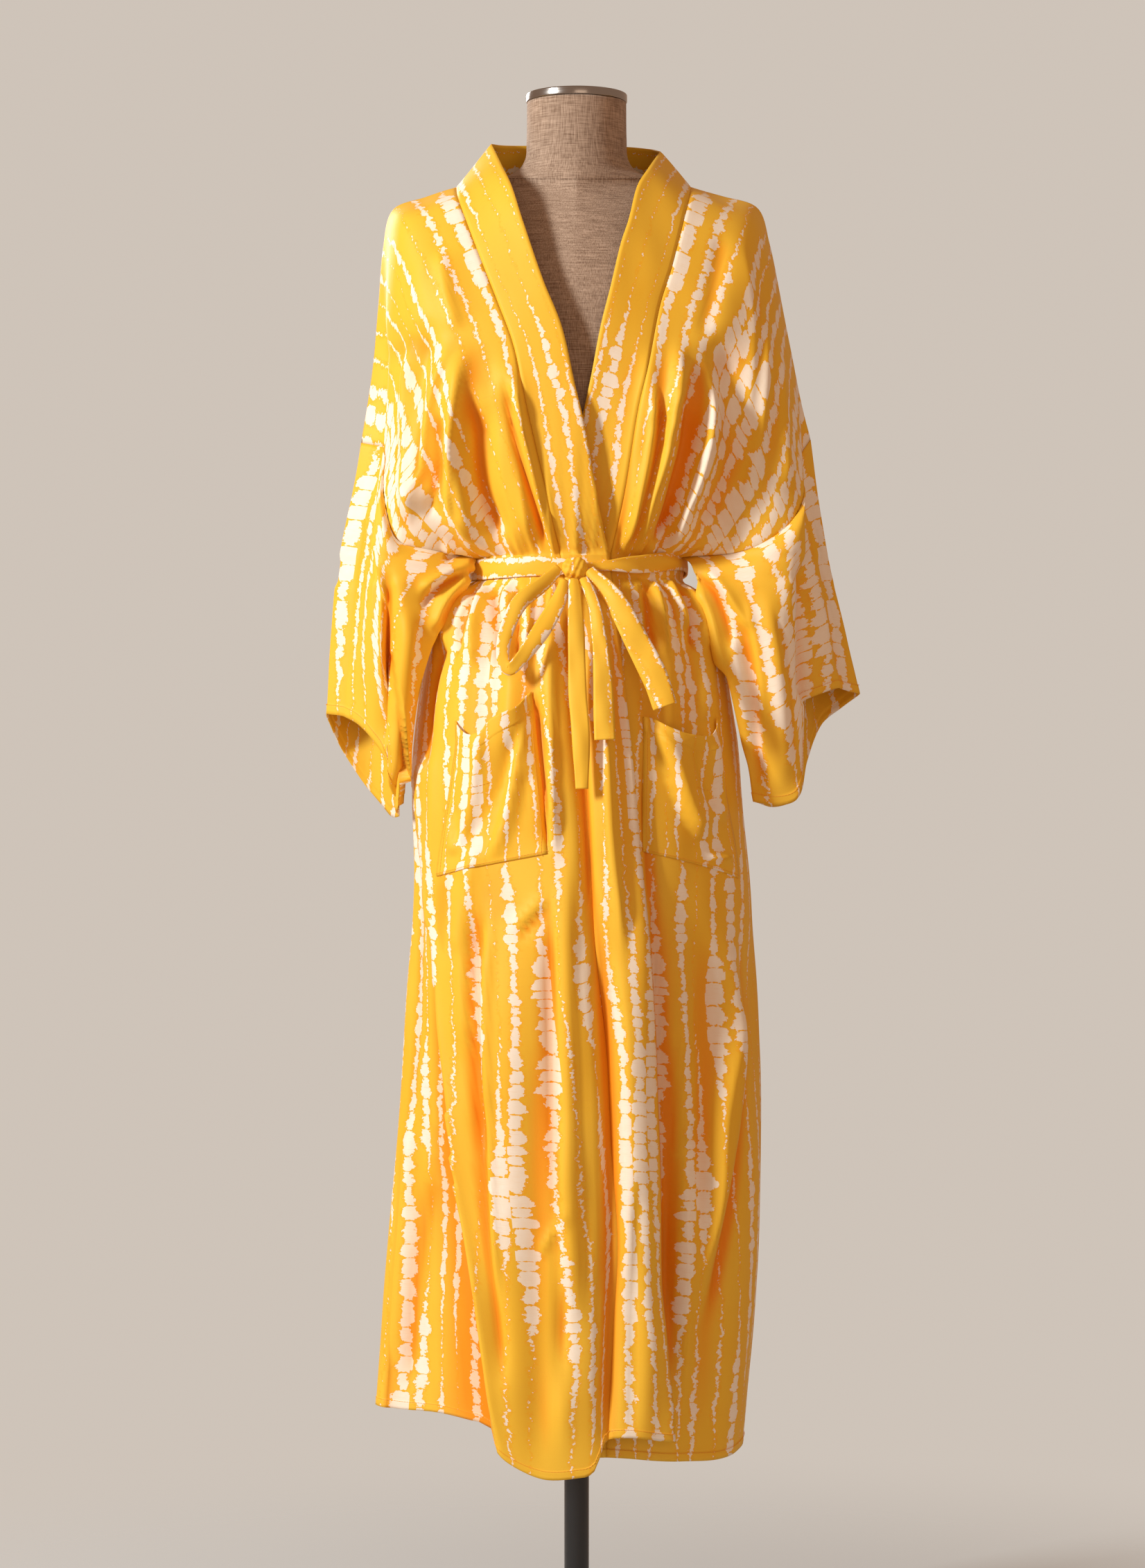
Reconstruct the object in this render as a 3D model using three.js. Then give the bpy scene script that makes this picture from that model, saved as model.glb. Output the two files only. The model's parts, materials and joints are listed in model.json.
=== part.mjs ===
// A belted kimono robe on a limbless dress form with a pole and a round base.
// Millimetres, +Z up, the front of the robe towards -Y, the middle of the base's underside at the origin.
// "Right" and "left" are the wearer's: the right side lies at -X.
import * as THREE from 'three';
import { mergeVertices } from 'three/addons/utils/BufferGeometryUtils.js';

// Cloth
const CLOTH = 1.5;
const SEAM_GAP = 0.3;
const LAYER_GAP = 0.5;
const BODICE_ROWS = 12;
const SKIRT_ROWS = 16;
const FRONT_COLUMNS = 16;
const NECK_COLUMNS = 8;
const BAND_COLUMNS = 3;
const SLEEVE_ROWS = 9;

// Stand
const BASE_RADIUS = 180;
const BASE_THICKNESS = 12;
const POLE_RADIUS = 12.8;
const TORSO_BOTTOM = 840;

// Belt
const WAIST_TOP = 1177;
const WAIST = 1164;
const WAIST_FOOT = 1151;
const BELT_HEIGHT = 21;
const BELT_CLOTH = 2.2;
const BELT_EASE = 0.8;
const BELT_COLUMNS = 48;
const WAIST_FLATNESS = 1.2;

const mix = (a, b, share) => a + (b - a) * share;
const clamp = (value) => Math.min(1, Math.max(0, value));
const smooth = (value) => clamp(value) ** 2 * (3 - 2 * clamp(value));
const radians = (degrees) => degrees * Math.PI / 180;
const add = (a, b, share = 1) => a.map((value, i) => value + b[i] * share);
const minus = (a, b) => a.map((value, i) => value - b[i]);
const size = (a) => Math.hypot(...a);
const unit = (a) => a.map((value) => value / (size(a) || 1));
const cross = (a, b) => [
  a[1] * b[2] - a[2] * b[1],
  a[2] * b[0] - a[0] * b[2],
  a[0] * b[1] - a[1] * b[0],
];

// Smooth value through rows whose places are given, as a Hermite curve on neighbouring slopes.
function through(places, rows, where) {
  const last = rows.length - 1;
  let i = 0;
  while (i < last - 1 && where > places[i + 1]) i += 1;
  const span = places[i + 1] - places[i];
  const t = clamp((where - places[i]) / span);
  const slope = (k) => {
    const from = Math.max(0, k - 1);
    const to = Math.min(last, k + 1);
    return minus(rows[to], rows[from]).map((value) => value / (places[to] - places[from]) * span);
  };
  const [start, end] = [slope(i), slope(i + 1)];
  return rows[i].map((value, k) => value * (2 * t ** 3 - 3 * t ** 2 + 1)
    + start[k] * (t ** 3 - 2 * t ** 2 + t)
    + rows[i + 1][k] * (3 * t ** 2 - 2 * t ** 3)
    + end[k] * (t ** 3 - t ** 2));
}

// A smooth line through points, by the share of its length.
function line(points) {
  const places = [0];
  for (let i = 1; i < points.length; i += 1) {
    places.push(places[i - 1] + size(minus(points[i], points[i - 1])));
  }
  return (share) => through(places, points, share * places.at(-1));
}

// A table whose first column is the height, read at any height, top row first.
function byHeight(table) {
  const places = table.map((row) => -row[0]);
  const rows = table.map((row) => row.slice(1));
  return (height) => through(places, rows, -Math.min(table[0][0], Math.max(table.at(-1)[0], height)));
}

// A patch between four lines: across at the top and bottom, down at the start and end.
// The depth (y) leaves the top line's own course sooner than x and z do, by the power given.
function patch(top, bottom, start, end, depthLeaves = 2.4) {
  const corners = [top(0), top(1), bottom(0), bottom(1)];
  return (across, down) => {
    const [a, b, c, d] = [top(across), bottom(across), start(down), end(down)];
    return a.map((value, k) => {
      const blend = k === 1 ? 1 - (1 - down) ** depthLeaves : down;
      const topCorners = mix(corners[0][k], corners[1][k], across);
      const bottomCorners = mix(corners[2][k], corners[3][k], across);
      return mix(value - topCorners, b[k] - bottomCorners, blend) + mix(c[k], d[k], across);
    });
  };
}

// Rings of the skirt: height, right side, left side, front of the upper lap, front of the under lap, back.
const SKIRT = byHeight([
  [1177, 108, 112, 96, 89, 88],
  [1164, 108, 112, 96, 89, 88],
  [1151, 108, 112, 96, 89, 88],
  [1128, 141, 140, 110, 101, 99],
  [1095, 154, 150, 118, 109, 107],
  [1000, 168, 165, 133, 124, 126],
  [935, 171, 171, 140, 131, 134],
  [840, 169, 180, 145, 134, 138],
  [730, 176, 187, 146, 131, 141],
  [615, 184, 192, 144, 124, 143],
  [460, 197, 189, 140, 115, 147],
  [300, 209, 176, 136, 108, 151],
  [245, 213, 170, 134, 106, 153],
]);
const UPPER_LAP = 2;
const UNDER_LAP = 3;
const LAPS_MEET_FROM = 38;
const LAPS_MEET_OVER = 30;

// A point of the skirt at an angle from the front, positive towards the wearer's left.
function onSkirt(degrees, height, lap) {
  const ring = SKIRT(height);
  const [sine, cosine] = [Math.sin(radians(degrees)), Math.cos(radians(degrees))];
  const front = mix(ring[lap], ring[UPPER_LAP], smooth((degrees - LAPS_MEET_FROM) / LAPS_MEET_OVER));
  return [sine * (sine < 0 ? ring[0] : ring[1]), -cosine * (cosine > 0 ? front : ring[4]), height];
}

// The angle at which a front point of the skirt has a given side place.
function angleOf(x, height) {
  const ring = SKIRT(height);
  return Math.asin(Math.max(-1, Math.min(1, x / (x < 0 ? ring[0] : ring[1])))) * 180 / Math.PI;
}

// Lines down the fronts below the belt, as side places by height. Both fronts: the band's seam, the pocket's
// inner and outer edge and the edge of the fold that covers the side.
const UPPER_LINES = byHeight([
  [1177, -17, -34, -68, -82],
  [1081, 0, -40, -100, -122],
  [1030, 4, -44, -114, -136],
  [921, 11, -34, -131, -148],
  [850, 15, -28, -141, -155],
  [783, 19, -28, -139, -154],
  [683, 31, -26, -128, -147],
  [583, 36, -26, -112, -133],
  [478, 42, -26, -90, -112],
  [385, 38, -28, -78, -101],
  [308, 34, -30, -66, -88],
  [245, 31, -30, -52, -72],
]);
const UNDER_LINES = byHeight([
  [1177, 34, 50, 82, 94],
  [1081, 33, 60, 118, 131],
  [1011, 32, 66, 141, 150],
  [921, 31, 67, 154, 163],
  [850, 30, 67, 165, 172],
  [740, 30, 66, 164, 175],
  [583, 30, 66, 156, 175],
  [385, 30, 64, 144, 166],
  [245, 30, 62, 132, 153],
]);
const LINE_COLUMNS = [0, 3, 9, 11, FRONT_COLUMNS];

// The bands' free edges below the belt, as side places by height: upper lap, under lap.
const FREE_EDGES = byHeight([
  [1177, 32, -19],
  [1081, 44, -28],
  [921, 61, -34],
  [783, 74, -36],
  [683, 84, -36],
  [583, 87, -36],
  [478, 90, -36],
  [385, 95, -36],
  [245, 101, -36],
]);

// Angle of the side seams by height, on the right and on the left.
const SIDES = byHeight([
  [1177, -72, 72],
  [1151, -74, 74],
  [1095, -84, 84],
  [1000, -94, 94],
  [245, -96, 96],
]);

// Hem height round the robe, by the angle from the front.
const hemLine = (rows) => {
  const places = rows.map((row) => row[0]);
  const heights = rows.map((row) => [row[1]]);
  return (degrees) => through(places, heights, Math.max(places[0], Math.min(places.at(-1), degrees)))[0];
};
const UPPER_HEM = hemLine([
  [-90, 298], [-60, 297], [-32, 296], [-25, 291], [-19, 262], [-10, 246], [0, 247], [6, 254], [10, 284],
  [36, 279],
]);
const UNDER_HEM = hemLine([[-20, 258], [10, 262], [36, 255], [60, 254], [90, 262]]);
const BACK_HEM = hemLine([[-270, 262], [-180, 282], [-90, 298]]);
const upperFoot = (degrees) => (degrees < -90 ? BACK_HEM(degrees) : UPPER_HEM(degrees));
const underFoot = (degrees) => (degrees > 90 ? BACK_HEM(degrees - 360) : UNDER_HEM(degrees));

const UNDERARM_RIGHT = onSkirt(SIDES(WAIST_TOP)[0], WAIST_TOP, UPPER_LAP);
const UNDERARM_LEFT = onSkirt(SIDES(WAIST_TOP)[1], WAIST_TOP, UNDER_LAP);

// The outer lines of each side of the bodice and its sleeve, in x, y and z.
const RIGHT = {
  way: -1,
  shoulder: [[-125, 2, 1563], [-158, 1, 1553], [-191, 0, 1540], [-201, 0, 1500], [-207, 0, 1441],
    [-214, 0, 1370], [-225, 0, 1298]],
  frontArmhole: [[-225, 0, 1298], [-201, -38, 1287], [-197, -55, 1235], [-183, -62, 1192],
    [-146, -56, 1182], UNDERARM_RIGHT],
  backArmhole: [[-225, 0, 1298], [-208, 34, 1276], [-194, 50, 1232], [-172, 52, 1192],
    [-136, 26, 1178], UNDERARM_RIGHT],
  sleeveTop: [[-225, 0, 1298], [-230, 0, 1265], [-243, 0, 1195], [-253, 0, 1106], [-261, 0, 1016]],
  underarm: [UNDERARM_RIGHT, [-110, -49, 1168], [-115, -57, 1153], [-126, -62, 1134],
    [-143, -64, 1094], [-161, -58, 1026], [-169, -48, 967], [-172, -34, 919]],
  frontCuff: [[-261, 0, 1016], [-250, -22, 1013], [-232, -38, 1003], [-212, -50, 980], [-197, -54, 955],
    [-187, -48, 935], [-172, -34, 919]],
  backCuff: [[-261, 0, 1016], [-245, 36, 978], [-224, 46, 944], [-206, 42, 922], [-192, 20, 908],
    [-172, -34, 919]],
};
const LEFT = {
  way: 1,
  shoulder: [[119, 2, 1564], [153, 1, 1554], [188, 0, 1541], [200, 0, 1506], [210, 0, 1460],
    [227, 0, 1370], [244, 0, 1301]],
  frontArmhole: [[244, 0, 1301], [237, -38, 1262], [230, -56, 1229], [211, -64, 1203],
    [170, -58, 1181], UNDERARM_LEFT],
  backArmhole: [[244, 0, 1301], [232, 36, 1270], [216, 50, 1230], [190, 50, 1196],
    [148, 26, 1178], UNDERARM_LEFT],
  sleeveTop: [[244, 0, 1301], [252, 0, 1236], [264, 0, 1171], [281, 0, 1106], [295, 0, 1037]],
  underarm: [UNDERARM_LEFT, [117, -50, 1168], [122, -58, 1152], [132, -62, 1128],
    [144, -64, 1088], [157, -62, 1040], [170, -56, 985], [182, -46, 925]],
  frontCuff: [[295, 0, 1037], [279, -28, 1043], [244, -46, 1030], [236, -50, 1021], [233, -54, 989],
    [230, -58, 940], [224, -58, 926], [206, -56, 921], [182, -46, 925]],
  backCuff: [[295, 0, 1037], [276, 32, 1022], [257, 44, 1005], [243, 48, 968], [234, 44, 930],
    [208, 20, 919], [182, -46, 925]],
};

const onWaist = (x, lap) => onSkirt(angleOf(x, WAIST_TOP), WAIST_TOP, lap);

// The band's seam and free edge above the belt, from the shoulder seam down.
const UPPER_BAND_SEAM = line([[-125, 2, 1563], [-121, -58, 1541], [-107, -84, 1501], [-94, -99, 1466],
  [-79, -110, 1427], [-65, -118, 1389], [-54, -124, 1343], [-48, -124, 1314], [-26, -112, 1218],
  onWaist(UPPER_LINES(WAIST_TOP)[0], UPPER_LAP)]);
const UPPER_BAND_EDGE = line([[-89, 10, 1610], [-76, -52, 1576], [-66, -82, 1551], [-55, -102, 1514],
  [-34, -120, 1451], [-15, -127, 1403], [-1, -130, 1341], [7, -130, 1308], [22, -117, 1225],
  onWaist(FREE_EDGES(WAIST_TOP)[0], UPPER_LAP)]);
const UNDER_BAND_SEAM = line([[119, 2, 1564], [116, -46, 1548], [110, -72, 1523], [96, -97, 1466],
  [84, -107, 1427], [73, -116, 1372], [61, -118, 1321], [48, -108, 1240],
  onWaist(UNDER_LINES(WAIST_TOP)[0], UNDER_LAP)]);
const UNDER_BAND_EDGE = line([[87, 10, 1602], [73, -52, 1574], [62, -80, 1552], [53, -100, 1515],
  [45, -109, 1490], [34, -118, 1444], [24, -122, 1404], [14, -122, 1352], [3, -117, 1300],
  [-9, -106, 1235], onWaist(FREE_EDGES(WAIST_TOP)[1], UNDER_LAP)]);

// The back neck: the band's seam from the right shoulder seam to the left, and its free edge.
const NECK_SEAM = line([[-125, 2, 1563], [-106, 42, 1563], [-62, 70, 1562], [0, 80, 1561], [60, 70, 1562],
  [101, 42, 1563], [119, 2, 1564]]);
const NECK_EDGE = line([[-89, 10, 1610], [-78, 36, 1613], [-48, 56, 1616], [0, 64, 1617], [47, 56, 1615],
  [76, 36, 1609], [87, 10, 1602]]);
const BACK_MIDDLE = line([NECK_SEAM(0.5), [0, 96, 1510], [0, 108, 1440], [0, 110, 1340], [0, 104, 1240],
  [0, 96, 1195], onSkirt(180, WAIST_TOP, UPPER_LAP)]);

// The front's largest folds. Each runs over three points (x, z) and stands out so far (negative is a valley).
// Its foot reaches so far to the right (-X) and to the left (+X) of its line.
const FRONT_FOLDS = [
  // x, z at the top, x, z half way, x, z at the foot, out, reach right, reach left
  [-129, 1400, -146, 1319, -168, 1206, 9, 16, 11],
  [-114, 1395, -126, 1290, -104, 1180, 10, 10, 9],
  [-73, 1380, -56, 1272, -42, 1180, 8, 13, 9],
  [-93, 1330, -92, 1250, -72, 1180, -10, 12, 12],
  [78, 1390, 62, 1281, 50, 1180, 7, 9, 12],
  [106, 1400, 91, 1288, 66, 1180, 9, 9, 11],
  [139, 1380, 131, 1284, 92, 1180, 9, 10, 13],
  [122, 1330, 110, 1250, 80, 1180, -8, 10, 10],
  [-52, 1150, -62, 1070, -70, 960, 6, 10, 10],
  [-82, 1150, -106, 1090, -118, 980, 6, 10, 10],
  [70, 1150, 88, 1090, 96, 980, 6, 10, 10],
  [100, 1150, 126, 1100, 136, 1000, 5, 10, 10],
  [-29, 1120, -29, 1020, -22, 860, 7, 14, 6],
  [-10, 1150, 8, 900, 22, 760, -6, 8, 6],
  [-10, 900, -9, 690, 0, 380, 9, 30, 9],
  [17, 840, 34, 600, 30, 240, -13, 10, 12],
  [-64, 830, -72, 560, -66, 240, 7, 22, 22],
  [-40, 700, -38, 480, -36, 240, -5, 14, 14],
  [166, 700, 138, 520, 108, 400, 8, 22, 14],
  [118, 830, 122, 560, 128, 240, -6, 20, 20],
  [62, 900, 66, 560, 66, 240, 6, 16, 16],
];

// The step of the front cloth over the cloth at its side: edge points (x, z), how far the side lies back.
const STEPS = [
  { way: -1, edge: [[-190, 1545], [-193, 1451], [-197, 1343], [-200, 1284], [-204, 1241], [-205, 1184],
    [-201, 1150], [-191, 1112], [-187, 1079]], back: 12, width: 10 },
  { way: 1, edge: [[214, 1480], [222, 1400], [230, 1321], [233, 1241], [233, 1043]], back: 12, width: 10 },
];

// The sleeves' deepest valley, as a fold that only the sleeves have.
const SLEEVE_FOLDS = [
  [-190, 1150, -192, 1060, -199, 930, -24, 9, 9],
  [234, 1180, 236, 1110, 236, 1020, -16, 9, 9],
  [-166, 1130, -176, 1040, -184, 930, 6, 8, 8],
  [190, 1150, 206, 1060, 212, 930, 8, 12, 12],
  [160, 1140, 178, 1060, 188, 930, -7, 9, 9],
];

// The back's folds, seen from behind: gathers above and below the belt and long soft folds to the hem.
const BACK_FOLDS = [
  [-60, 1420, -56, 1300, -44, 1180, 7, 12, 12],
  [-110, 1420, -100, 1300, -72, 1180, 8, 12, 12],
  [-30, 1330, -22, 1240, -18, 1180, -7, 10, 10],
  [14, 1400, 12, 1280, 10, 1180, 6, 12, 12],
  [66, 1420, 60, 1300, 46, 1180, 8, 12, 12],
  [116, 1420, 108, 1300, 76, 1180, 7, 12, 12],
  [-20, 1150, -34, 900, -44, 240, 9, 20, 20],
  [24, 1150, 34, 900, 40, 240, 10, 20, 20],
  [-60, 1150, -92, 900, -120, 240, 9, 20, 20],
  [60, 1150, 94, 900, 112, 240, 9, 20, 20],
  [0, 1100, -2, 800, -2, 240, -8, 18, 18],
];

// Signed distance from a line of (x, z) points, and the share along it.
function nearLine(points, x, z) {
  let best = { gap: Infinity, side: 1, share: 0 };
  const last = points.length - 1;
  for (let i = 0; i < last; i += 1) {
    const [ax, az] = points[i];
    const [dx, dz] = [points[i + 1][0] - ax, points[i + 1][1] - az];
    const t = clamp(((x - ax) * dx + (z - az) * dz) / (dx * dx + dz * dz));
    const gap = Math.hypot(x - ax - dx * t, z - az - dz * t);
    if (gap < best.gap) {
      best = { gap, side: Math.sign((x - ax) * -dz + (z - az) * dx) || 1, share: (i + t) / last };
    }
  }
  return best;
}

const foldLine = ([x1, z1, x2, z2, x3, z3]) => {
  const curve = line([[x1, z1], [x2, z2], [x3, z3]]);
  return Array.from({ length: 9 }, (_, i) => curve(i / 8));
};
const prepared = (table) => table.map((row) => ({
  points: foldLine(row), out: row[6], right: row[7], left: row[8],
}));
const frontFolds = prepared(FRONT_FOLDS);
const sleeveFolds = prepared(SLEEVE_FOLDS);
const backFolds = prepared(BACK_FOLDS);

// How far the folds of a list stand out at a point. Each fades in and out over a share of its length.
const FOLD_FADE_IN = 0.22;
const FOLD_FADE_OUT = 0.18;
const STEP_FADE_IN = 0.3;
function foldsAt(folds, x, z) {
  let out = 0;
  for (const fold of folds) {
    const near = nearLine(fold.points, x, z);
    const reach = near.side > 0 ? fold.left : fold.right;
    const ends = smooth(near.share / FOLD_FADE_IN) * smooth((1 - near.share) / FOLD_FADE_OUT);
    out += fold.out * ends * Math.exp(-((near.gap / reach) ** 2));
  }
  return out;
}

// How far the steps set the side cloth back at a point.
function stepsAt(x, z) {
  let out = 0;
  for (const step of STEPS) {
    const near = nearLine(step.edge, x, z);
    const outside = near.side * step.way > 0 ? near.gap : 0;
    const start = smooth(near.share / STEP_FADE_IN);
    out -= step.back * start * smooth(outside / step.width);
  }
  return out;
}

// A panel is rows of points. Its outward side is the one that the turn of its rows and columns gives.
function panel(rows, columns, place, turn, closed = false) {
  const points = [];
  for (let i = 0; i <= rows; i += 1) {
    const row = [];
    for (let j = 0; j < (closed ? columns : columns + 1); j += 1) row.push(place(j / columns, i / rows));
    points.push(row);
  }
  return { points, turn, closed };
}

function panelNormals({ points, turn, closed }) {
  return points.map((row, i) => row.map((point, j) => {
    const count = row.length;
    const before = closed ? row[(j + count - 1) % count] : row[Math.max(0, j - 1)];
    const after = closed ? row[(j + 1) % count] : row[Math.min(count - 1, j + 1)];
    const above = points[Math.max(0, i - 1)][j];
    const below = points[Math.min(points.length - 1, i + 1)][j];
    return unit(cross(minus(below, above), minus(after, before)).map((value) => value * turn));
  }));
}

// Where panels share points, they share the mean of their outward directions, so their walls meet in a mitre.
function joinNormals(panels) {
  const meetings = new Map();
  for (const one of panels) {
    one.normals = panelNormals(one);
    one.points.forEach((row, i) => row.forEach((point, j) => {
      const key = point.map((value) => Math.round(value * 10)).join();
      if (!meetings.has(key)) meetings.set(key, []);
      meetings.get(key).push([one, i, j]);
    }));
  }
  for (const places of meetings.values()) {
    const sum = places.reduce((total, [one, i, j]) => add(total, one.normals[i][j]), [0, 0, 0]);
    for (const [one, i, j] of places) one.normals[i][j] = unit(sum);
  }
}

function raise(panels) {
  joinNormals(panels);
  for (const one of panels) {
    one.points = one.points.map((row, i) => row.map((point, j) => (
      add(point, one.normals[i][j], one.relief(point[0], point[2], point[1]))
    )));
  }
  joinNormals(panels);
}

// A closed wall: the panel's points outside, the same points moved in by its thickness inside, and its rims.
function wall({ points, normals, closed }, thickness = CLOTH, trim = SEAM_GAP / 2) {
  const rows = points.length;
  const columns = points[0].length;
  const outer = points.map((row) => row.map((point) => [...point]));
  const towards = (from, to) => unit(minus(to, from)).map((value) => value * trim);
  for (let i = 0; i < rows; i += 1) {
    for (let j = 0; j < columns; j += 1) {
      let shift = [0, 0, 0];
      if (i === 0) shift = add(shift, towards(points[0][j], points[1][j]));
      if (i === rows - 1) shift = add(shift, towards(points[i][j], points[i - 1][j]));
      if (!closed && j === 0) shift = add(shift, towards(points[i][0], points[i][1]));
      if (!closed && j === columns - 1) shift = add(shift, towards(points[i][j], points[i][j - 1]));
      outer[i][j] = add(points[i][j], shift);
    }
  }
  const inner = outer.map((row, i) => row.map((point, j) => add(point, normals[i][j], -thickness)));
  const positions = [];
  const quad = (a, b, c, d) => positions.push(...a, ...b, ...c, ...a, ...c, ...d);
  const steps = closed ? columns : columns - 1;
  for (let j = 0; j < steps; j += 1) {
    const next = (j + 1) % columns;
    for (let i = 0; i < rows - 1; i += 1) {
      quad(outer[i][j], outer[i + 1][j], outer[i + 1][next], outer[i][next]);
      quad(inner[i][j], inner[i][next], inner[i + 1][next], inner[i + 1][j]);
    }
    quad(outer[0][j], outer[0][next], inner[0][next], inner[0][j]);
    quad(outer[rows - 1][j], inner[rows - 1][j], inner[rows - 1][next], outer[rows - 1][next]);
  }
  for (let i = 0; !closed && i < rows - 1; i += 1) {
    const end = columns - 1;
    quad(outer[i][0], inner[i][0], inner[i + 1][0], outer[i + 1][0]);
    quad(outer[i][end], outer[i + 1][end], inner[i + 1][end], inner[i][end]);
  }
  return solid(positions);
}

// One closed body from loose triangles, turned so that its faces point out.
function solid(positions) {
  let geometry = new THREE.BufferGeometry();
  geometry.setAttribute('position', new THREE.Float32BufferAttribute(positions, 3));
  geometry = mergeVertices(geometry, 1e-3);
  const [index, place] = [geometry.index.array, geometry.attributes.position];
  let volume = 0;
  const corner = (k) => new THREE.Vector3().fromBufferAttribute(place, index[k]);
  for (let k = 0; k < index.length; k += 3) volume += corner(k).dot(corner(k + 1).cross(corner(k + 2)));
  for (let k = 0; volume < 0 && k < index.length; k += 3) {
    [index[k + 1], index[k + 2]] = [index[k + 2], index[k + 1]];
  }
  return geometry;
}

// Body panels. Rows run from the shoulder to the belt and on to the hem, columns from the band to the side.
const ROWS = BODICE_ROWS + SKIRT_ROWS;
const HEM_READ_AT = 260;
const easeTop = (share) => share ** 1.25;

// Height of a row below the waist's top: two rows under the belt, the others evenly down to the hem.
function skirtHeight(row, foot) {
  if (row <= 2) return mix(WAIST_TOP, WAIST_FOOT, row / 2);
  return mix(WAIST_FOOT, foot, (row - 2) / (SKIRT_ROWS - 2));
}

// The upper lap's side lies behind its front fold from here down.
const FOLD_TOP = 730;
const FOLD_DEEP = 540;
const FOLD_BACK = 0.52;

function frontPanel(side, bandSeam, lap, lines, hem) {
  const sideColumn = side.way < 0 ? 0 : 1;
  const angleAt = (across, height) => {
    const knots = lines(height).map((x) => angleOf(x, height));
    knots.push(SIDES(height)[sideColumn]);
    const column = across * FRONT_COLUMNS;
    let i = 0;
    while (i < knots.length - 2 && column > LINE_COLUMNS[i + 1]) i += 1;
    return mix(knots[i], knots[i + 1], (column - LINE_COLUMNS[i]) / (LINE_COLUMNS[i + 1] - LINE_COLUMNS[i]));
  };
  const waist = (across) => onSkirt(angleAt(across, WAIST_TOP), WAIST_TOP, lap);
  const bodice = patch(line(side.shoulder), waist, bandSeam, line(side.frontArmhole));
  const place = (across, down) => {
    const row = down * ROWS;
    if (row <= BODICE_ROWS) return bodice(across, easeTop(row / BODICE_ROWS));
    const height = skirtHeight(row - BODICE_ROWS, hem(angleAt(across, HEM_READ_AT)));
    const point = onSkirt(angleAt(across, height), height, lap);
    if (lap === UPPER_LAP) {
      const column = across * FRONT_COLUMNS;
      const behind = smooth((column - LINE_COLUMNS[3]) / 2) * smooth((FRONT_COLUMNS - column) / 2);
      point[1] *= 1 - FOLD_BACK * behind * smooth((FOLD_TOP - height) / (FOLD_TOP - FOLD_DEEP));
    }
    return point;
  };
  return panel(ROWS, FRONT_COLUMNS, place, side.way);
}

const BACK_FULLNESS = 8;
function backPanel() {
  const columns = 2 * FRONT_COLUMNS + NECK_COLUMNS;
  const [rightTop, leftTop] = [line(RIGHT.shoulder), line(LEFT.shoulder)];
  const top = (across) => {
    const column = across * columns;
    if (column <= FRONT_COLUMNS) return rightTop(1 - column / FRONT_COLUMNS);
    if (column < FRONT_COLUMNS + NECK_COLUMNS) return NECK_SEAM((column - FRONT_COLUMNS) / NECK_COLUMNS);
    return leftTop((column - FRONT_COLUMNS - NECK_COLUMNS) / FRONT_COLUMNS);
  };
  const angleAt = (across, height) => {
    const [right, left] = SIDES(height);
    return mix(right, left - 360, across);
  };
  const waist = (across) => onSkirt(angleAt(across, WAIST_TOP), WAIST_TOP, UPPER_LAP);
  const rightHalf = patch((a) => top(a / 2), (a) => waist(a / 2), line(RIGHT.backArmhole), BACK_MIDDLE,
    BACK_FULLNESS);
  const leftHalf = patch((a) => top(0.5 + a / 2), (a) => waist(0.5 + a / 2), BACK_MIDDLE,
    line(LEFT.backArmhole), BACK_FULLNESS);
  const place = (across, down) => {
    const row = down * ROWS;
    if (row <= BODICE_ROWS) {
      const share = easeTop(row / BODICE_ROWS);
      return across <= 0.5 ? rightHalf(across * 2, share) : leftHalf(across * 2 - 1, share);
    }
    const height = skirtHeight(row - BODICE_ROWS, BACK_HEM(angleAt(across, HEM_READ_AT)));
    return onSkirt(angleAt(across, height), height, UPPER_LAP);
  };
  return panel(ROWS, columns, place, -1);
}

// The band: rows as the front panel's, with the back neck's rows before them, columns from seam to free edge.
function bandPanel(way, seamLine, edgeLine, lap, lines, hem) {
  const neckRows = NECK_COLUMNS / 2;
  const rows = ROWS + neckRows;
  const edgeColumn = way < 0 ? 0 : 1;
  const angleAt = (across, height) => mix(angleOf(lines(height)[0], height),
    angleOf(FREE_EDGES(height)[edgeColumn], height), across);
  const place = (across, down) => {
    const row = down * rows;
    if (row < neckRows) {
      const along = 0.5 + way * 0.5 * (row / neckRows);
      return mixPoints(NECK_SEAM(along), NECK_EDGE(along), across);
    }
    const bodyRow = row - neckRows;
    if (bodyRow <= BODICE_ROWS) {
      const share = easeTop(bodyRow / BODICE_ROWS);
      return mixPoints(seamLine(share), edgeLine(share), across);
    }
    const height = skirtHeight(bodyRow - BODICE_ROWS, hem(angleAt(across, HEM_READ_AT)));
    return onSkirt(angleAt(across, height), height, lap);
  };
  return panel(rows, BAND_COLUMNS, place, -way);
}

function mixPoints(a, b, share) {
  return a.map((value, k) => mix(value, b[k], share));
}

// A sleeve: round it from the top line over the front to the underarm and back, down it from seam to cuff.
function sleevePanel(side) {
  const [topLine, underarm] = [line(side.sleeveTop), line(side.underarm)];
  const armhole = (points) => (across) => line(points)(easeTop(across));
  const front = patch(armhole(side.frontArmhole), line(side.frontCuff), topLine, underarm);
  const back = patch(armhole(side.backArmhole), line(side.backCuff), topLine, underarm);
  const place = (around, down) => {
    const turn = around * 2;
    return turn <= 1 ? front(turn, down) : back(2 - turn, down);
  };
  return panel(SLEEVE_ROWS, 2 * BODICE_ROWS, place, -side.way, true);
}

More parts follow.
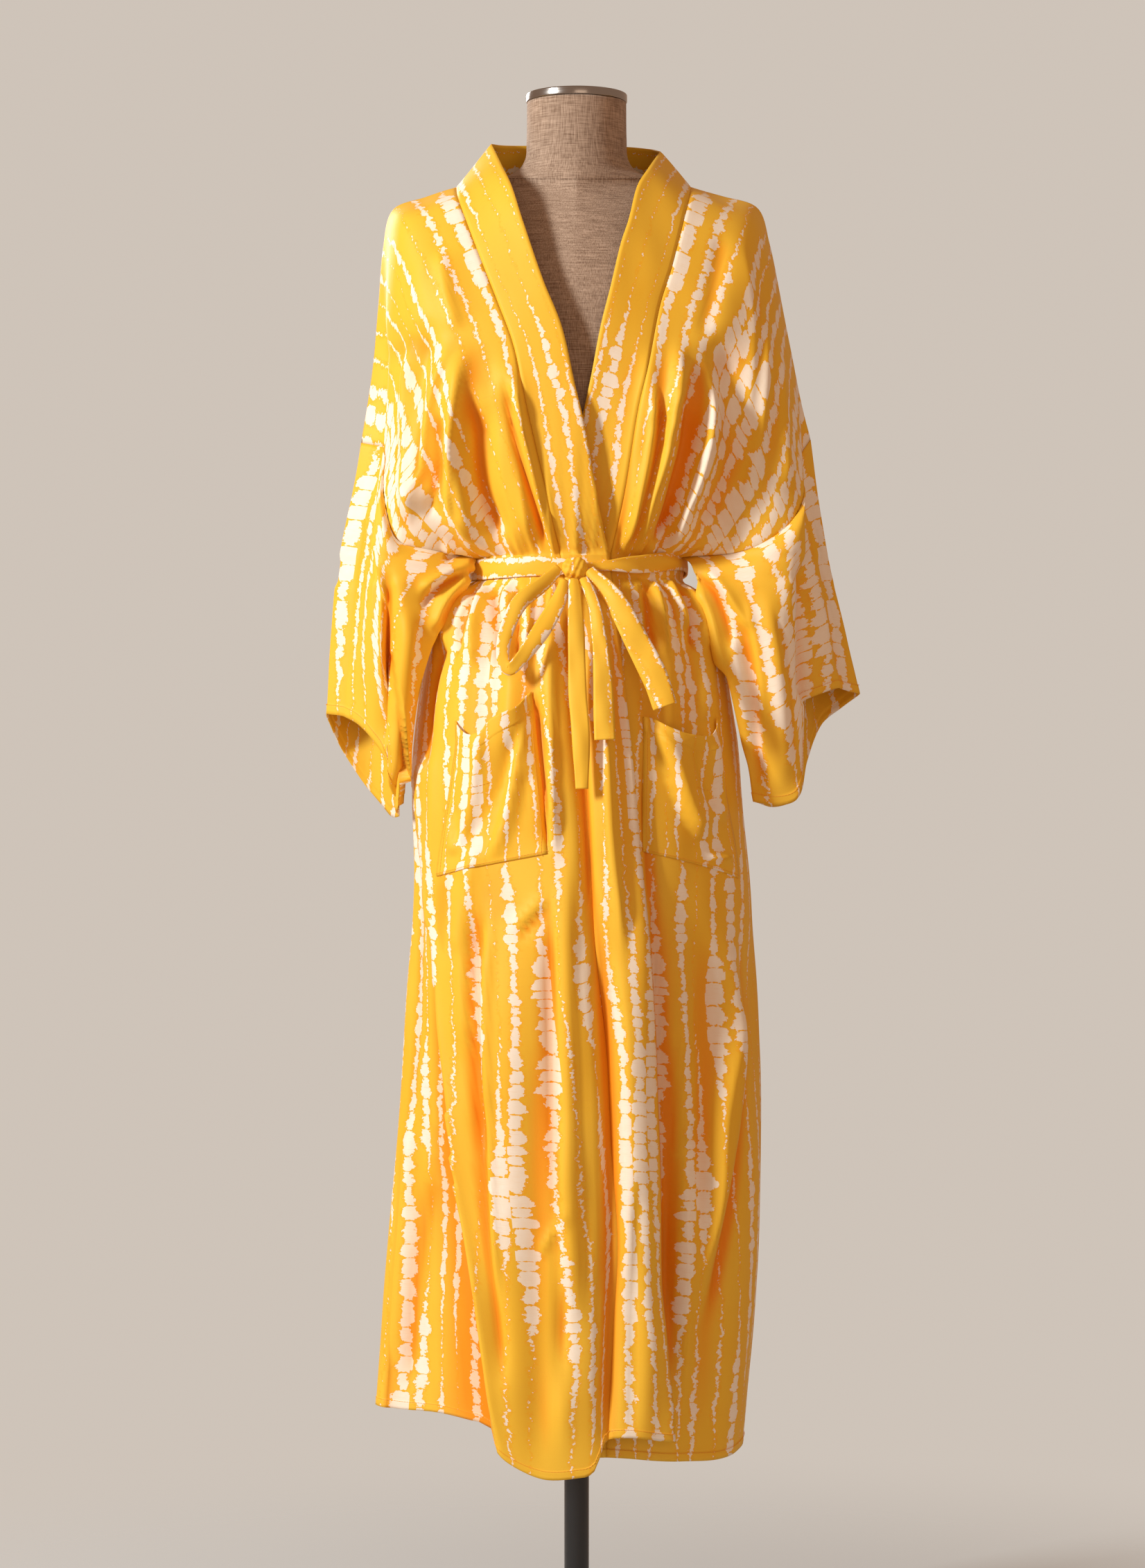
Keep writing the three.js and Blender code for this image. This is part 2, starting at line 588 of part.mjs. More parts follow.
const frontRight = frontPanel(RIGHT, UPPER_BAND_SEAM, UPPER_LAP, UPPER_LINES, upperFoot);
const frontLeft = frontPanel(LEFT, UNDER_BAND_SEAM, UNDER_LAP, UNDER_LINES, underFoot);
const back = backPanel();
const bandRight = bandPanel(-1, UPPER_BAND_SEAM, UPPER_BAND_EDGE, UPPER_LAP, UPPER_LINES, upperFoot);
const bandLeft = bandPanel(1, UNDER_BAND_SEAM, UNDER_BAND_EDGE, UNDER_LAP, UNDER_LINES, underFoot);
const sleeveRight = sleevePanel(RIGHT);
const sleeveLeft = sleevePanel(LEFT);

// Relief of the front and of the back. Both fade out before the side, where panels meet.
const FRONT_ENDS = 6;
const BACK_STARTS = 22;
const FADE = 30;
function bodyRelief(x, z, y) {
  if (y < FRONT_ENDS) return smooth((FRONT_ENDS - y) / FADE) * (foldsAt(frontFolds, x, z) + stepsAt(x, z));
  return smooth((y - BACK_STARTS) / FADE) * foldsAt(backFolds, x, z);
}
function sleeveRelief(x, z, y) {
  const front = y < FRONT_ENDS ? smooth((FRONT_ENDS - y) / FADE) * foldsAt(sleeveFolds, x, z) : 0;
  return bodyRelief(x, z, y) + front;
}
const robePanels = [frontRight, frontLeft, back, bandRight, bandLeft, sleeveRight, sleeveLeft];
for (const one of robePanels) one.relief = bodyRelief;
for (const one of [sleeveRight, sleeveLeft]) one.relief = sleeveRelief;
raise(robePanels);

// The belt round the waist, a little outside the robe there.
function beltPanel() {
  const place = (around, down) => {
    const height = WAIST + (0.5 - down) * BELT_HEIGHT;
    const point = onSkirt(around * 360, WAIST, UPPER_LAP);
    const out = unit([point[0], point[1] * WAIST_FLATNESS, 0]);
    return [...add(point, out, BELT_EASE + BELT_CLOTH).slice(0, 2), height];
  };
  return panel(1, BELT_COLUMNS, place, 1, true);
}

// A patch pocket on a front, made from the front's own points between two of its columns, moved out.
const POCKET_ROWS = 6;
function pocketPanel(front, way, { topInner, topOuter, sag, footInner, footOuter, puff }) {
  const [first, last] = [LINE_COLUMNS[1], LINE_COLUMNS[2]];
  const place = (across, down) => {
    const column = Math.round(mix(first, last, across));
    const top = mix(topInner, topOuter, across) - sag * Math.sin(Math.PI * across);
    const height = mix(top, mix(footInner, footOuter, across), down);
    let row = BODICE_ROWS;
    while (front.points[row + 1][column][2] > height) row += 1;
    const [above, below] = [front.points[row][column], front.points[row + 1][column]];
    const share = (above[2] - height) / (above[2] - below[2]);
    const normal = mixPoints(front.normals[row][column], front.normals[row + 1][column], share);
    const out = CLOTH + LAYER_GAP + puff * Math.sin(Math.PI * across) * (1 - down) ** 1.5;
    return add(mixPoints(above, below, share), normal, out);
  };
  const pocket = panel(POCKET_ROWS, last - first, place, way);
  pocket.normals = panelNormals(pocket);
  return pocket;
}

// A flat ribbon of belt cloth along a line of points, its face to the front, its widths evenly spaced.
function ribbon(points, widths, rows) {
  const course = line(points);
  const shares = widths.map((_, i) => i / (widths.length - 1));
  const widthRows = widths.map((width) => [width]);
  const place = (across, down) => {
    const point = course(down);
    const along = unit(minus(course(Math.min(1, down + 0.01)), course(Math.max(0, down - 0.01))));
    const sideways = unit(cross(along, [0, -1, 0]));
    return add(point, sideways, (across - 0.5) * through(shares, widthRows, down)[0]);
  };
  const strip = panel(rows, 2, place, 1);
  strip.normals = panelNormals(strip);
  return strip;
}

// The dress form: height, half width, front, back and squareness of each section.
const FORM = [
  [1650, 51.5, 51.5, 51.5, 2],
  [1610, 52, 52, 53, 2],
  [1590, 54, 53, 54, 2],
  [1577, 66, 55, 57, 1.7],
  [1568, 94, 57, 59, 1.4],
  [1560.6, 121, 58, 58, 1.15],
  [1551.2, 154, 60, 58, 1.15],
  [1538.8, 185, 66, 60, 1.25],
  [1525, 190, 74, 64, 1.35],
  [1500, 188, 84, 72, 1.5],
  [1470, 172, 94, 80, 1.8],
  [1430, 150, 102, 86, 2.1],
  [1380, 142, 108, 87, 2.1],
  [1340, 138, 110, 86, 2.1],
  [1290, 128, 102, 84, 2.1],
  [1230, 108, 88, 80, 2.1],
  [1165, 98, 79, 77, 2.1],
  [1100, 116, 90, 86, 2.1],
  [1030, 144, 104, 104, 2.1],
  [970, 154, 110, 114, 2.1],
  [900, 152, 108, 112, 2.1],
  [855, 147, 104, 107, 2.1],
  [840, 138, 96, 98, 2.1],
];
function formBody() {
  const columns = 32;
  const rings = FORM.map(([height, wide, front, behind, square]) => (
    Array.from({ length: columns }, (_, j) => {
      const angle = j / columns * 2 * Math.PI;
      const [sine, cosine] = [Math.sin(angle), -Math.cos(angle)];
      const power = (value) => Math.sign(value) * Math.abs(value) ** (2 / square);
      return [wide * power(sine), (cosine < 0 ? front : behind) * power(cosine), height];
    })
  ));
  const positions = [];
  const [top, foot] = [rings[0], rings.at(-1)];
  for (let j = 0; j < columns; j += 1) {
    const next = (j + 1) % columns;
    for (let i = 0; i < rings.length - 1; i += 1) {
      positions.push(...rings[i][j], ...rings[i + 1][j], ...rings[i + 1][next]);
      positions.push(...rings[i][j], ...rings[i + 1][next], ...rings[i][next]);
    }
    positions.push(0, 0, top[0][2], ...top[j], ...top[next]);
    positions.push(0, 0, foot[0][2], ...foot[next], ...foot[j]);
  }
  return solid(positions);
}

// A round body from its outline, radius then height.
function turned(outline, segments = 48) {
  const geometry = new THREE.LatheGeometry(outline.map(([r, z]) => new THREE.Vector2(r, z)), segments);
  geometry.rotateX(Math.PI / 2);
  geometry.deleteAttribute('normal');
  geometry.deleteAttribute('uv');
  return solid([...geometry.toNonIndexed().attributes.position.array]);
}

// Materials
const material = (color, roughness, metalness) => new THREE.MeshStandardMaterial({
  color, roughness, metalness,
});
const yellowCloth = material(0xf6bd3c, 0.6, 0);
const linen = material(0xb09279, 0.85, 0);
const brightMetal = material(0xc8c8cc, 0.2, 1);
const blackPaint = material(0x141416, 0.35, 0.2);

const robe = new THREE.Group();
function addPiece(name, geometry, finish) {
  const mesh = new THREE.Mesh(geometry, finish);
  mesh.name = name;
  robe.add(mesh);
}

// A body panel is one cut piece in two solids, bodice and skirt, which meet under the belt.
const BELT_ROW = BODICE_ROWS + 1;
const rowsOf = (one, from, to) => ({
  ...one, points: one.points.slice(from, to), normals: one.normals.slice(from, to),
});
for (const [name, one] of [['back', back], ['front_right', frontRight], ['front_left', frontLeft]]) {
  addPiece(`${name}_bodice`, wall(rowsOf(one, 0, BELT_ROW + 1)), yellowCloth);
  addPiece(`${name}_skirt`, wall(rowsOf(one, BELT_ROW, ROWS + 1)), yellowCloth);
}
addPiece('band_right', wall(bandRight, CLOTH, SEAM_GAP), yellowCloth);
addPiece('band_left', wall(bandLeft, CLOTH, SEAM_GAP), yellowCloth);
addPiece('sleeve_right', wall(sleeveRight), yellowCloth);
addPiece('sleeve_left', wall(sleeveLeft), yellowCloth);
addPiece('pocket_right', wall(pocketPanel(frontRight, -1, {
  topInner: 1036, topOuter: 1007, sag: 20, footInner: 873, footOuter: 849, puff: 12,
})), yellowCloth);
addPiece('pocket_left', wall(pocketPanel(frontLeft, 1, {
  topInner: 1011, topOuter: 1011, sag: 16, footInner: 875, footOuter: 846, puff: 12,
})), yellowCloth);

const belt = beltPanel();
belt.normals = panelNormals(belt);
addPiece('belt_wrap', wall(belt, BELT_CLOTH), yellowCloth);
const knot = new THREE.SphereGeometry(1, 16, 10);
knot.scale(13, 8, 12);
knot.translate(-2, -107.3, WAIST - 3);
addPiece('belt_knot', knot, yellowCloth);
addPiece('bow_loop_right', wall(ribbon([[-17.9, -108.3, 1160.5], [-32, -120, 1146], [-57, -132, 1125],
  [-71, -136, 1095], [-74, -138, 1070], [-68, -141, 1058], [-58, -144, 1066], [-36, -139, 1096],
  [-18, -124, 1128], [-12, -112, 1148]], [10, 15, 16, 14, 12, 14, 18, 16, 8], 18), BELT_CLOTH), yellowCloth);
addPiece('bow_loop_left', wall(ribbon([[12.9, -108.5, 1158.4], [37, -126, 1130], [60, -138, 1086],
  [78, -146, 1050], [88, -150, 1020]], [10, 20, 24, 26, 24], 10), BELT_CLOTH), yellowCloth);
addPiece('belt_tail_long', wall(ribbon([[-3, -112, 1148.8], [-2, -126, 1134], [-1, -136, 1104],
  [1, -144, 1034], [4, -149, 993], [5, -154, 938]], [9, 15, 17, 18, 17, 12], 12), BELT_CLOTH), yellowCloth);
addPiece('belt_tail_short', wall(ribbon([[7, -112, 1150.2], [14, -127, 1133], [19, -134, 1115],
  [25, -142, 1062], [28, -150, 987]], [8, 12, 16, 20, 21], 10), BELT_CLOTH), yellowCloth);

addPiece('form_torso', formBody(), linen);
addPiece('neck_ring', turned([[47, 1650.3], [52.4, 1650.3], [52.4, 1658], [51, 1659], [47, 1659],
  [47, 1650.3]]), brightMetal);
addPiece('neck_cap', turned([[0, 1650.3], [46.7, 1650.3], [46.7, 1656], [40, 1657.5], [0, 1658]]),
  brightMetal);
addPiece('stand_pole', turned([[0, 40.3], [POLE_RADIUS, 40.3], [POLE_RADIUS, TORSO_BOTTOM - 0.3],
  [0, TORSO_BOTTOM - 0.3]], 32), blackPaint);
addPiece('stand_base', turned([[0, 0], [BASE_RADIUS, 0], [BASE_RADIUS, 8], [BASE_RADIUS - 6, BASE_THICKNESS],
  [30, BASE_THICKNESS + 4], [22, 24], [20, 40], [0, 40]]), blackPaint);

export default robe;
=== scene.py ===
"""A belted kimono robe on a limbless linen dress form, dressed for a studio photograph.
Tables are in millimetres, in the part's own frame: +Z up, the robe's front towards -Y, and the wearer's right
at -X."""
import json
import math

import bpy
import numpy as np
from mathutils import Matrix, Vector


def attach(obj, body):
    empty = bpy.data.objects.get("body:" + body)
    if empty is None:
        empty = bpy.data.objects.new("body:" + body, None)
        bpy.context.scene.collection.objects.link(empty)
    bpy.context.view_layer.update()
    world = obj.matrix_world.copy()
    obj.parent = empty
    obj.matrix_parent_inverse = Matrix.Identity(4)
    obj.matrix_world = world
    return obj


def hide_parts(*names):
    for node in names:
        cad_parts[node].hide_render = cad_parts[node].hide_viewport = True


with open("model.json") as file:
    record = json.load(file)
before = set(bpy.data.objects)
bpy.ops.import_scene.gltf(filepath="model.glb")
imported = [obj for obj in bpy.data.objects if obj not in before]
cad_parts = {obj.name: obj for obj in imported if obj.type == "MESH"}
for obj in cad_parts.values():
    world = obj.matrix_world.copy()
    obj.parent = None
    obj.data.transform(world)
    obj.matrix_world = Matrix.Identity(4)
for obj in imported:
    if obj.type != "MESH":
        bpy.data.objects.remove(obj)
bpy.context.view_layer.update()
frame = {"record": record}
MM = 0.001


# The stand: a steel pole with black satin paint, screwed into the boss of a round base plate.
# The base is past the photo's edge, so it is a usual weighted plate with a rounded rim.
def slot_of(node):
    return next(part["material_slot"] for part in frame["record"]["subparts"] if part["node"] == node)


def placed(name, mesh, slot, nodes=()):
    """The mesh as an object of the part, in place of its nodes. Its slot is not used."""
    piece = bpy.data.objects.new(name, mesh)
    bpy.context.scene.collection.objects.link(piece)
    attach(piece, "root")
    if nodes:
        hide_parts(*nodes)
    return piece


def mesh_piece(name, points, faces, material, nodes, spread=None, flat_from=None, values=()):
    """A piece from points in millimetres. spread is each point's place on the cloth, in metres, and values
    are pairs of a name and one number for each point. Faces from flat_from on are shaded flat."""
    mesh = bpy.data.meshes.new(name)
    mesh.from_pydata((np.asarray(points, float) * MM).tolist(), [], faces)
    smooth_faces = np.ones(len(faces), bool)
    if flat_from is not None:
        smooth_faces[flat_from:] = False
    mesh.polygons.foreach_set("use_smooth", smooth_faces)
    if spread is not None:
        corners = np.empty(len(mesh.loops), int)
        mesh.loops.foreach_get("vertex_index", corners)
        mesh.uv_layers.new(name="spread").data.foreach_set("uv", np.asarray(spread, float)[corners].ravel())
    for label, numbers in values:
        mesh.attributes.new(label, "FLOAT", "POINT").data.foreach_set("value", numbers)
    mesh.materials.append(material)
    mesh.update()
    return placed(name, mesh, slot_of(nodes[0]), nodes)


def rounded(outline, radius, steps=4):
    """The outline (radius, height) with its inner corners rounded."""
    outline = [np.array(point, float) for point in outline]
    result = [outline[0]]
    for before, corner, after in zip(outline, outline[1:], outline[2:]):
        to_before, to_after = before - corner, after - corner
        cut = min(radius, 0.45 * np.linalg.norm(to_before), 0.45 * np.linalg.norm(to_after))
        start = corner + to_before / np.linalg.norm(to_before) * cut
        end = corner + to_after / np.linalg.norm(to_after) * cut
        for step in range(steps + 1):
            share = step / steps
            result.append((1 - share) ** 2 * start + 2 * share * (1 - share) * corner + share ** 2 * end)
    return result + [outline[-1]]


def turned(name, outline, material, node, segments=96):
    """A round piece from an outline that starts and ends on the axis, or closes on itself."""
    rings = [point for point in outline if point[0] > 1e-6]
    angles = np.arange(segments) / segments * 2 * np.pi
    points = np.concatenate([np.stack([r * np.cos(angles), r * np.sin(angles), np.full(segments, z)], 1)
                             for r, z in rings])
    near = np.arange(segments)
    after = (near + 1) % segments
    faces = []
    for i in range(len(rings) - 1):
        faces += np.stack([i * segments + near, i * segments + after,
                           (i + 1) * segments + after, (i + 1) * segments + near], 1).tolist()
    if outline[0][0] < 1e-6:
        faces.append(near[::-1].tolist())
        faces.append(((len(rings) - 1) * segments + near).tolist())
    else:
        last = (len(rings) - 1) * segments
        faces += np.stack([last + near, last + after, after, near], 1).tolist()
    mesh = bpy.data.meshes.new(name)
    mesh.from_pydata(points * MM, [], faces)
    mesh.materials.append(material)
    mesh.shade_smooth()
    mesh.set_sharp_from_angle(angle=math.radians(50))
    return placed(name, mesh, slot_of(node), [node])


def new_material(name, color, roughness):
    """A material with its shader; the caller adds what changes over the surface."""
    material = bpy.data.materials.new(name)
    material.use_nodes = True
    shader = material.node_tree.nodes["Principled BSDF"]
    shader.inputs["Base Color"].default_value = (*color, 1)
    shader.inputs["Roughness"].default_value = roughness
    return material, material.node_tree, shader


def feed(tree, socket, value):
    """Give a node's input a number, or link it to another node's output."""
    if isinstance(value, bpy.types.NodeSocket):
        tree.links.new(value, socket)
    else:
        socket.default_value = value


def ramp(tree, value, low, high, to_low=0.0, to_high=1.0, shape="SMOOTHSTEP"):
    """A step from low to high, soft unless its shape says otherwise."""
    node = tree.nodes.new("ShaderNodeMapRange")
    node.interpolation_type = shape
    for socket, given in zip(node.inputs, (value, low, high, to_low, to_high)):
        feed(tree, socket, given)
    return node.outputs["Result"]


def stretched_noise(tree, scale, detail, distortion=0.0):
    """Noise over a piece, with its own scale in x, y and z."""
    place = tree.nodes.new("ShaderNodeTexCoord")
    stretched = tree.nodes.new("ShaderNodeMapping")
    stretched.inputs["Scale"].default_value = scale
    noise = tree.nodes.new("ShaderNodeTexNoise")
    noise.inputs["Scale"].default_value = 1
    noise.inputs["Detail"].default_value = detail
    noise.inputs["Distortion"].default_value = distortion
    tree.links.new(place.outputs["Object"], stretched.inputs["Vector"])
    tree.links.new(stretched.outputs["Vector"], noise.inputs["Vector"])
    return noise.outputs["Fac"]


def bump(tree, shader, height, strength, distance):
    """Fine relief of a material's surface."""
    node = tree.nodes.new("ShaderNodeBump")
    node.inputs["Strength"].default_value = strength
    node.inputs["Distance"].default_value = distance
    tree.links.new(height, node.inputs["Height"])
    tree.links.new(node.outputs["Normal"], shader.inputs["Normal"])


black_paint, tree, shader = new_material("black satin paint", (0.012, 0.012, 0.013), 0.34)
shader.inputs["Coat Weight"].default_value = 0.25
shader.inputs["Coat Roughness"].default_value = 0.22
speckle = stretched_noise(tree, (900, 900, 900), 2)
tree.links.new(ramp(tree, speckle, 0.0, 1.0, 0.28, 0.44, "LINEAR"), shader.inputs["Roughness"])
bump(tree, shader, speckle, 0.08, 0.0004)

BASE_RADIUS, RIM_HEIGHT, BOSS_TOP = 180, 8, 40
POLE_RADIUS, TORSO_BOTTOM, GAP = 12.8, 840, 0.3
POLE_OUTLINE = [(0, BOSS_TOP + GAP), (POLE_RADIUS, BOSS_TOP + GAP), (POLE_RADIUS, TORSO_BOTTOM - GAP),
                (0, TORSO_BOTTOM - GAP)]
BASE_OUTLINE = [(0, 0), (BASE_RADIUS, 0), (BASE_RADIUS, RIM_HEIGHT), (BASE_RADIUS - 6, 12), (30, 16),
                (22, 24), (20, BOSS_TOP), (0, BOSS_TOP)]
turned("pole", rounded(POLE_OUTLINE, 1.2), black_paint, "stand_pole")
turned("base_plate", rounded(BASE_OUTLINE, 3), black_paint, "stand_base")


# Reading of tables, as every cloth and the form need it: a smooth curve through rows at given places.
def mix(a, b, share):
    return a + (b - a) * share


def smooth(value):
    value = np.clip(value, 0, 1)
    return value ** 2 * (3 - 2 * value)


def through(places, rows, where):
    """Smooth values through rows at their places: a Hermite curve on neighbouring slopes."""
    places, rows, where = np.asarray(places, float), np.asarray(rows, float), np.asarray(where, float)
    last = len(places) - 1
    i = np.clip(np.searchsorted(places, where, side="right") - 1, 0, last - 1)
    near = np.arange(last + 1)
    before, after = np.maximum(near - 1, 0), np.minimum(near + 1, last)
    slopes = (rows[after] - rows[before]) / (places[after] - places[before])[:, None]
    span = np.asarray(places[i + 1] - places[i])[..., None]
    t = np.clip(np.asarray(where - places[i])[..., None] / span, 0, 1)
    return (rows[i] * (2 * t ** 3 - 3 * t ** 2 + 1) + slopes[i] * span * (t ** 3 - 2 * t ** 2 + t)
            + rows[i + 1] * (3 * t ** 2 - 2 * t ** 3) + slopes[i + 1] * span * (t ** 3 - t ** 2))


def line(points):
    """A smooth line through points, by the share of its length."""
    points = np.asarray(points, float)
    places = np.concatenate([[0], np.cumsum(np.linalg.norm(np.diff(points, axis=0), axis=1))])
    return lambda share: through(places, points, np.asarray(share, float) * places[-1])


def by_height(table):
    """A table whose first column is the height, read at any height, top row first."""
    table = np.asarray(table, float)
    return lambda height: through(-table[:, 0], table[:, 1:], -np.clip(height, table[-1, 0], table[0, 0]))


# The dress form: papier-mache body covered in taupe linen, with a sewn seam round the neck's foot. It is
# a plain rounded body without arms.
FORM = by_height([
    # height, half width, front, back, squareness
    [1650, 51.5, 51.5, 51.5, 2],
    [1610, 52, 52, 53, 2],
    [1590, 54, 53, 54, 2],
    [1577, 66, 55, 57, 1.7],
    [1568, 94, 57, 59, 1.4],
    [1560.6, 121, 58, 58, 1.15],
    [1551.2, 154, 60, 58, 1.15],
    [1538.8, 185, 66, 60, 1.25],
    [1525, 190, 74, 64, 1.35],
    [1500, 188, 84, 72, 1.5],
    [1470, 172, 94, 80, 1.8],
    [1430, 150, 102, 86, 2.1],
    [1380, 142, 108, 87, 2.1],
    [1340, 138, 110, 86, 2.1],
    [1290, 128, 102, 84, 2.1],
    [1230, 108, 88, 80, 2.1],
    [1165, 98, 79, 77, 2.1],
    [1100, 116, 90, 86, 2.1],
    [1030, 144, 104, 104, 2.1],
    [970, 154, 110, 114, 2.1],
    [900, 152, 108, 112, 2.1],
    [855, 147, 104, 107, 2.1],
    [840, 138, 96, 98, 2.1],
])


def form_point(angle, height):
    """A point of the form at an angle from the front, positive towards the wearer's left."""
    ring = FORM(height)
    sine, cosine = np.sin(angle), -np.cos(angle)
    power = 2 / ring[..., 3]
    x = ring[..., 0] * np.sign(sine) * np.abs(sine) ** power
    y = np.where(cosine < 0, ring[..., 1], ring[..., 2]) * np.sign(cosine) * np.abs(cosine) ** power
    return np.stack([x, y, np.broadcast_to(height, x.shape)], -1)


def calc(tree, operation, *values):
    """One Math node; each value is a number or another node's output."""
    node = tree.nodes.new("ShaderNodeMath")
    node.operation = operation
    for socket, value in zip(node.inputs, values):
        feed(tree, socket, value)
    return node.outputs[0]


def mixed(tree, share, first, second, blend="MIX"):
    """One colour blended over another by a share."""
    node = tree.nodes.new("ShaderNodeMix")
    node.data_type = "RGBA"
    node.blend_type = blend
    for socket, given in ((node.inputs[0], share), (node.inputs[6], first), (node.inputs[7], second)):
        feed(tree, socket, given)
    return node.outputs[2]


linen, tree, shader = new_material("taupe linen", (0.4, 0.29, 0.215), 0.86)
shader.inputs["Sheen Weight"].default_value = 0.12
warp = stretched_noise(tree, (1300, 1300, 70), 3, 0.3)
weft = stretched_noise(tree, (60, 60, 1300), 3, 0.3)
woven = calc(tree, "ADD", warp, weft)
thread_color = mixed(tree, ramp(tree, woven, 0.72, 1.28, shape="LINEAR"), (0.2, 0.125, 0.08, 1),
                     (0.56, 0.42, 0.32, 1))
patchy = ramp(tree, stretched_noise(tree, (9, 9, 7), 3), 0.3, 0.7, 0.86, 1.06, "LINEAR")
tree.links.new(mixed(tree, 1.0, thread_color, patchy, "MULTIPLY"), shader.inputs["Base Color"])
bump(tree, shader, woven, 0.5, 0.0006)


def tube_faces(rows, columns):
    """The faces of a tube of points that is closed round and at both ends; the ends come last."""
    index = np.arange(rows * columns).reshape(rows, columns)
    after = np.roll(index, -1, 1)
    sides = np.stack([index[:-1], index[1:], after[1:], after[:-1]], -1).reshape(-1, 4)
    return sides.tolist() + [index[0].tolist(), index[-1][::-1].tolist()]


FORM_COLUMNS = 144
form_heights = np.concatenate([np.linspace(1650, 1590, 16), np.linspace(1586, 1500, 60),
                               np.linspace(1494, 840, 110)])
form_angles = np.arange(FORM_COLUMNS) / FORM_COLUMNS * 2 * np.pi
form_points = form_point(form_angles, form_heights[:, None]).reshape(-1, 3)
form_faces = tube_faces(len(form_heights), FORM_COLUMNS)
mesh_piece("form_body", form_points, form_faces, linen, ["form_torso"], flat_from=len(form_faces) - 2)


# Neck ring and cap: a polished steel ring with a rolled edge closes the linen at the top of the neck, and a
# slightly domed steel cap sits in it.
polished, tree, shader = new_material("polished steel", (0.36, 0.35, 0.34), 0.16)
shader.inputs["Metallic"].default_value = 1
brushed = stretched_noise(tree, (30, 30, 1800), 2)
tree.links.new(ramp(tree, brushed, 0.0, 1.0, 0.1, 0.3, "LINEAR"), shader.inputs["Roughness"])
TORSO_TOP, RING_INNER, RING_OUTER, RING_TOP = 1650, 47, 52.4, 1659
RING_OUTLINE = [(RING_INNER, TORSO_TOP + GAP), (RING_OUTER, TORSO_TOP + GAP), (RING_OUTER, RING_TOP),
                (RING_INNER, RING_TOP), (RING_INNER, TORSO_TOP + GAP)]
CAP_OUTLINE = [(0, TORSO_TOP + GAP), (RING_INNER - GAP, TORSO_TOP + GAP), (RING_INNER - GAP, RING_TOP - 3),
               (40, RING_TOP - 1.5), (0, RING_TOP - 1)]
turned("ring", rounded(RING_OUTLINE, 1.6), polished, "neck_ring")
turned("cap", rounded(CAP_OUTLINE, 1.2), polished, "neck_cap")


# The robe's back panel: one piece of light satin-faced cotton from the shoulders to the hem, gathered by the
# belt. The tables that the fronts and the belt share with it stand here.
BODICE_ROWS, SKIRT_ROWS, FRONT_COLUMNS, NECK_COLUMNS = 12, 16, 16, 8
WAIST_TOP, WAIST, WAIST_FOOT = 1177, 1164, 1151
UPPER_LAP, UNDER_LAP = 2, 3
# From LAP_ENDS degrees on, over LAP_FADE degrees, the under lap comes out to the same front as the upper one.
LAP_ENDS, LAP_FADE = 38, 30
SKIRT = by_height([
    # height, right side, left side, front of the upper lap, front of the under lap, back
    [1177, 108, 112, 96, 89, 88],
    [1164, 108, 112, 96, 89, 88],
    [1151, 108, 112, 96, 89, 88],
    [1128, 141, 140, 110, 101, 99],
    [1095, 154, 150, 118, 109, 107],
    [1000, 168, 165, 133, 124, 126],
    [935, 171, 171, 140, 131, 134],
    [840, 169, 180, 145, 134, 138],
    [730, 176, 187, 146, 131, 141],
    [615, 184, 192, 144, 124, 143],
    [460, 197, 189, 140, 115, 147],
    [300, 209, 176, 136, 108, 151],
    [245, 213, 170, 134, 106, 153],
])
SIDES = by_height([
    # height, angle of the right side seam, of the left
    [1177, -72, 72],
    [1151, -74, 74],
    [1095, -84, 84],
    [1000, -94, 94],
    [245, -96, 96],
])


def on_skirt(degrees, height, lap):
    """A point of the skirt at an angle from the front, positive towards the wearer's left."""
    degrees, height = np.broadcast_arrays(np.asarray(degrees, float), np.asarray(height, float))
    ring = SKIRT(height)
    sine, cosine = np.sin(np.radians(degrees)), np.cos(np.radians(degrees))
    front = mix(ring[..., lap], ring[..., UPPER_LAP], smooth((degrees - LAP_ENDS) / LAP_FADE))
    return np.stack([sine * np.where(sine < 0, ring[..., 0], ring[..., 1]),
                     -cosine * np.where(cosine > 0, front, ring[..., 4]), height], -1)


def angle_of(x, height):
    """The angle at which a front point of the skirt has a given side place."""
    ring = SKIRT(height)
    return np.degrees(np.arcsin(np.clip(x / np.where(x < 0, ring[..., 0], ring[..., 1]), -1, 1)))


def hem_line(rows):
    rows = np.asarray(rows, float)
    return lambda degrees: through(rows[:, 0], rows[:, 1:], np.clip(degrees, rows[0, 0], rows[-1, 0]))[..., 0]


# Hem heights by the angle from the front.
UPPER_HEM = hem_line([[-90, 298], [-60, 297], [-32, 296], [-25, 291], [-19, 262], [-10, 246], [0, 247],
                      [6, 254], [10, 284], [36, 279]])
UNDER_HEM = hem_line([[-20, 258], [10, 262], [36, 255], [60, 254], [90, 262]])
BACK_HEM = hem_line([[-270, 262], [-180, 282], [-90, 298]])


def upper_foot(degrees):
    return np.where(degrees < -90, BACK_HEM(degrees), UPPER_HEM(degrees))


def under_foot(degrees):
    return np.where(degrees > 90, BACK_HEM(degrees - 360), UNDER_HEM(degrees))


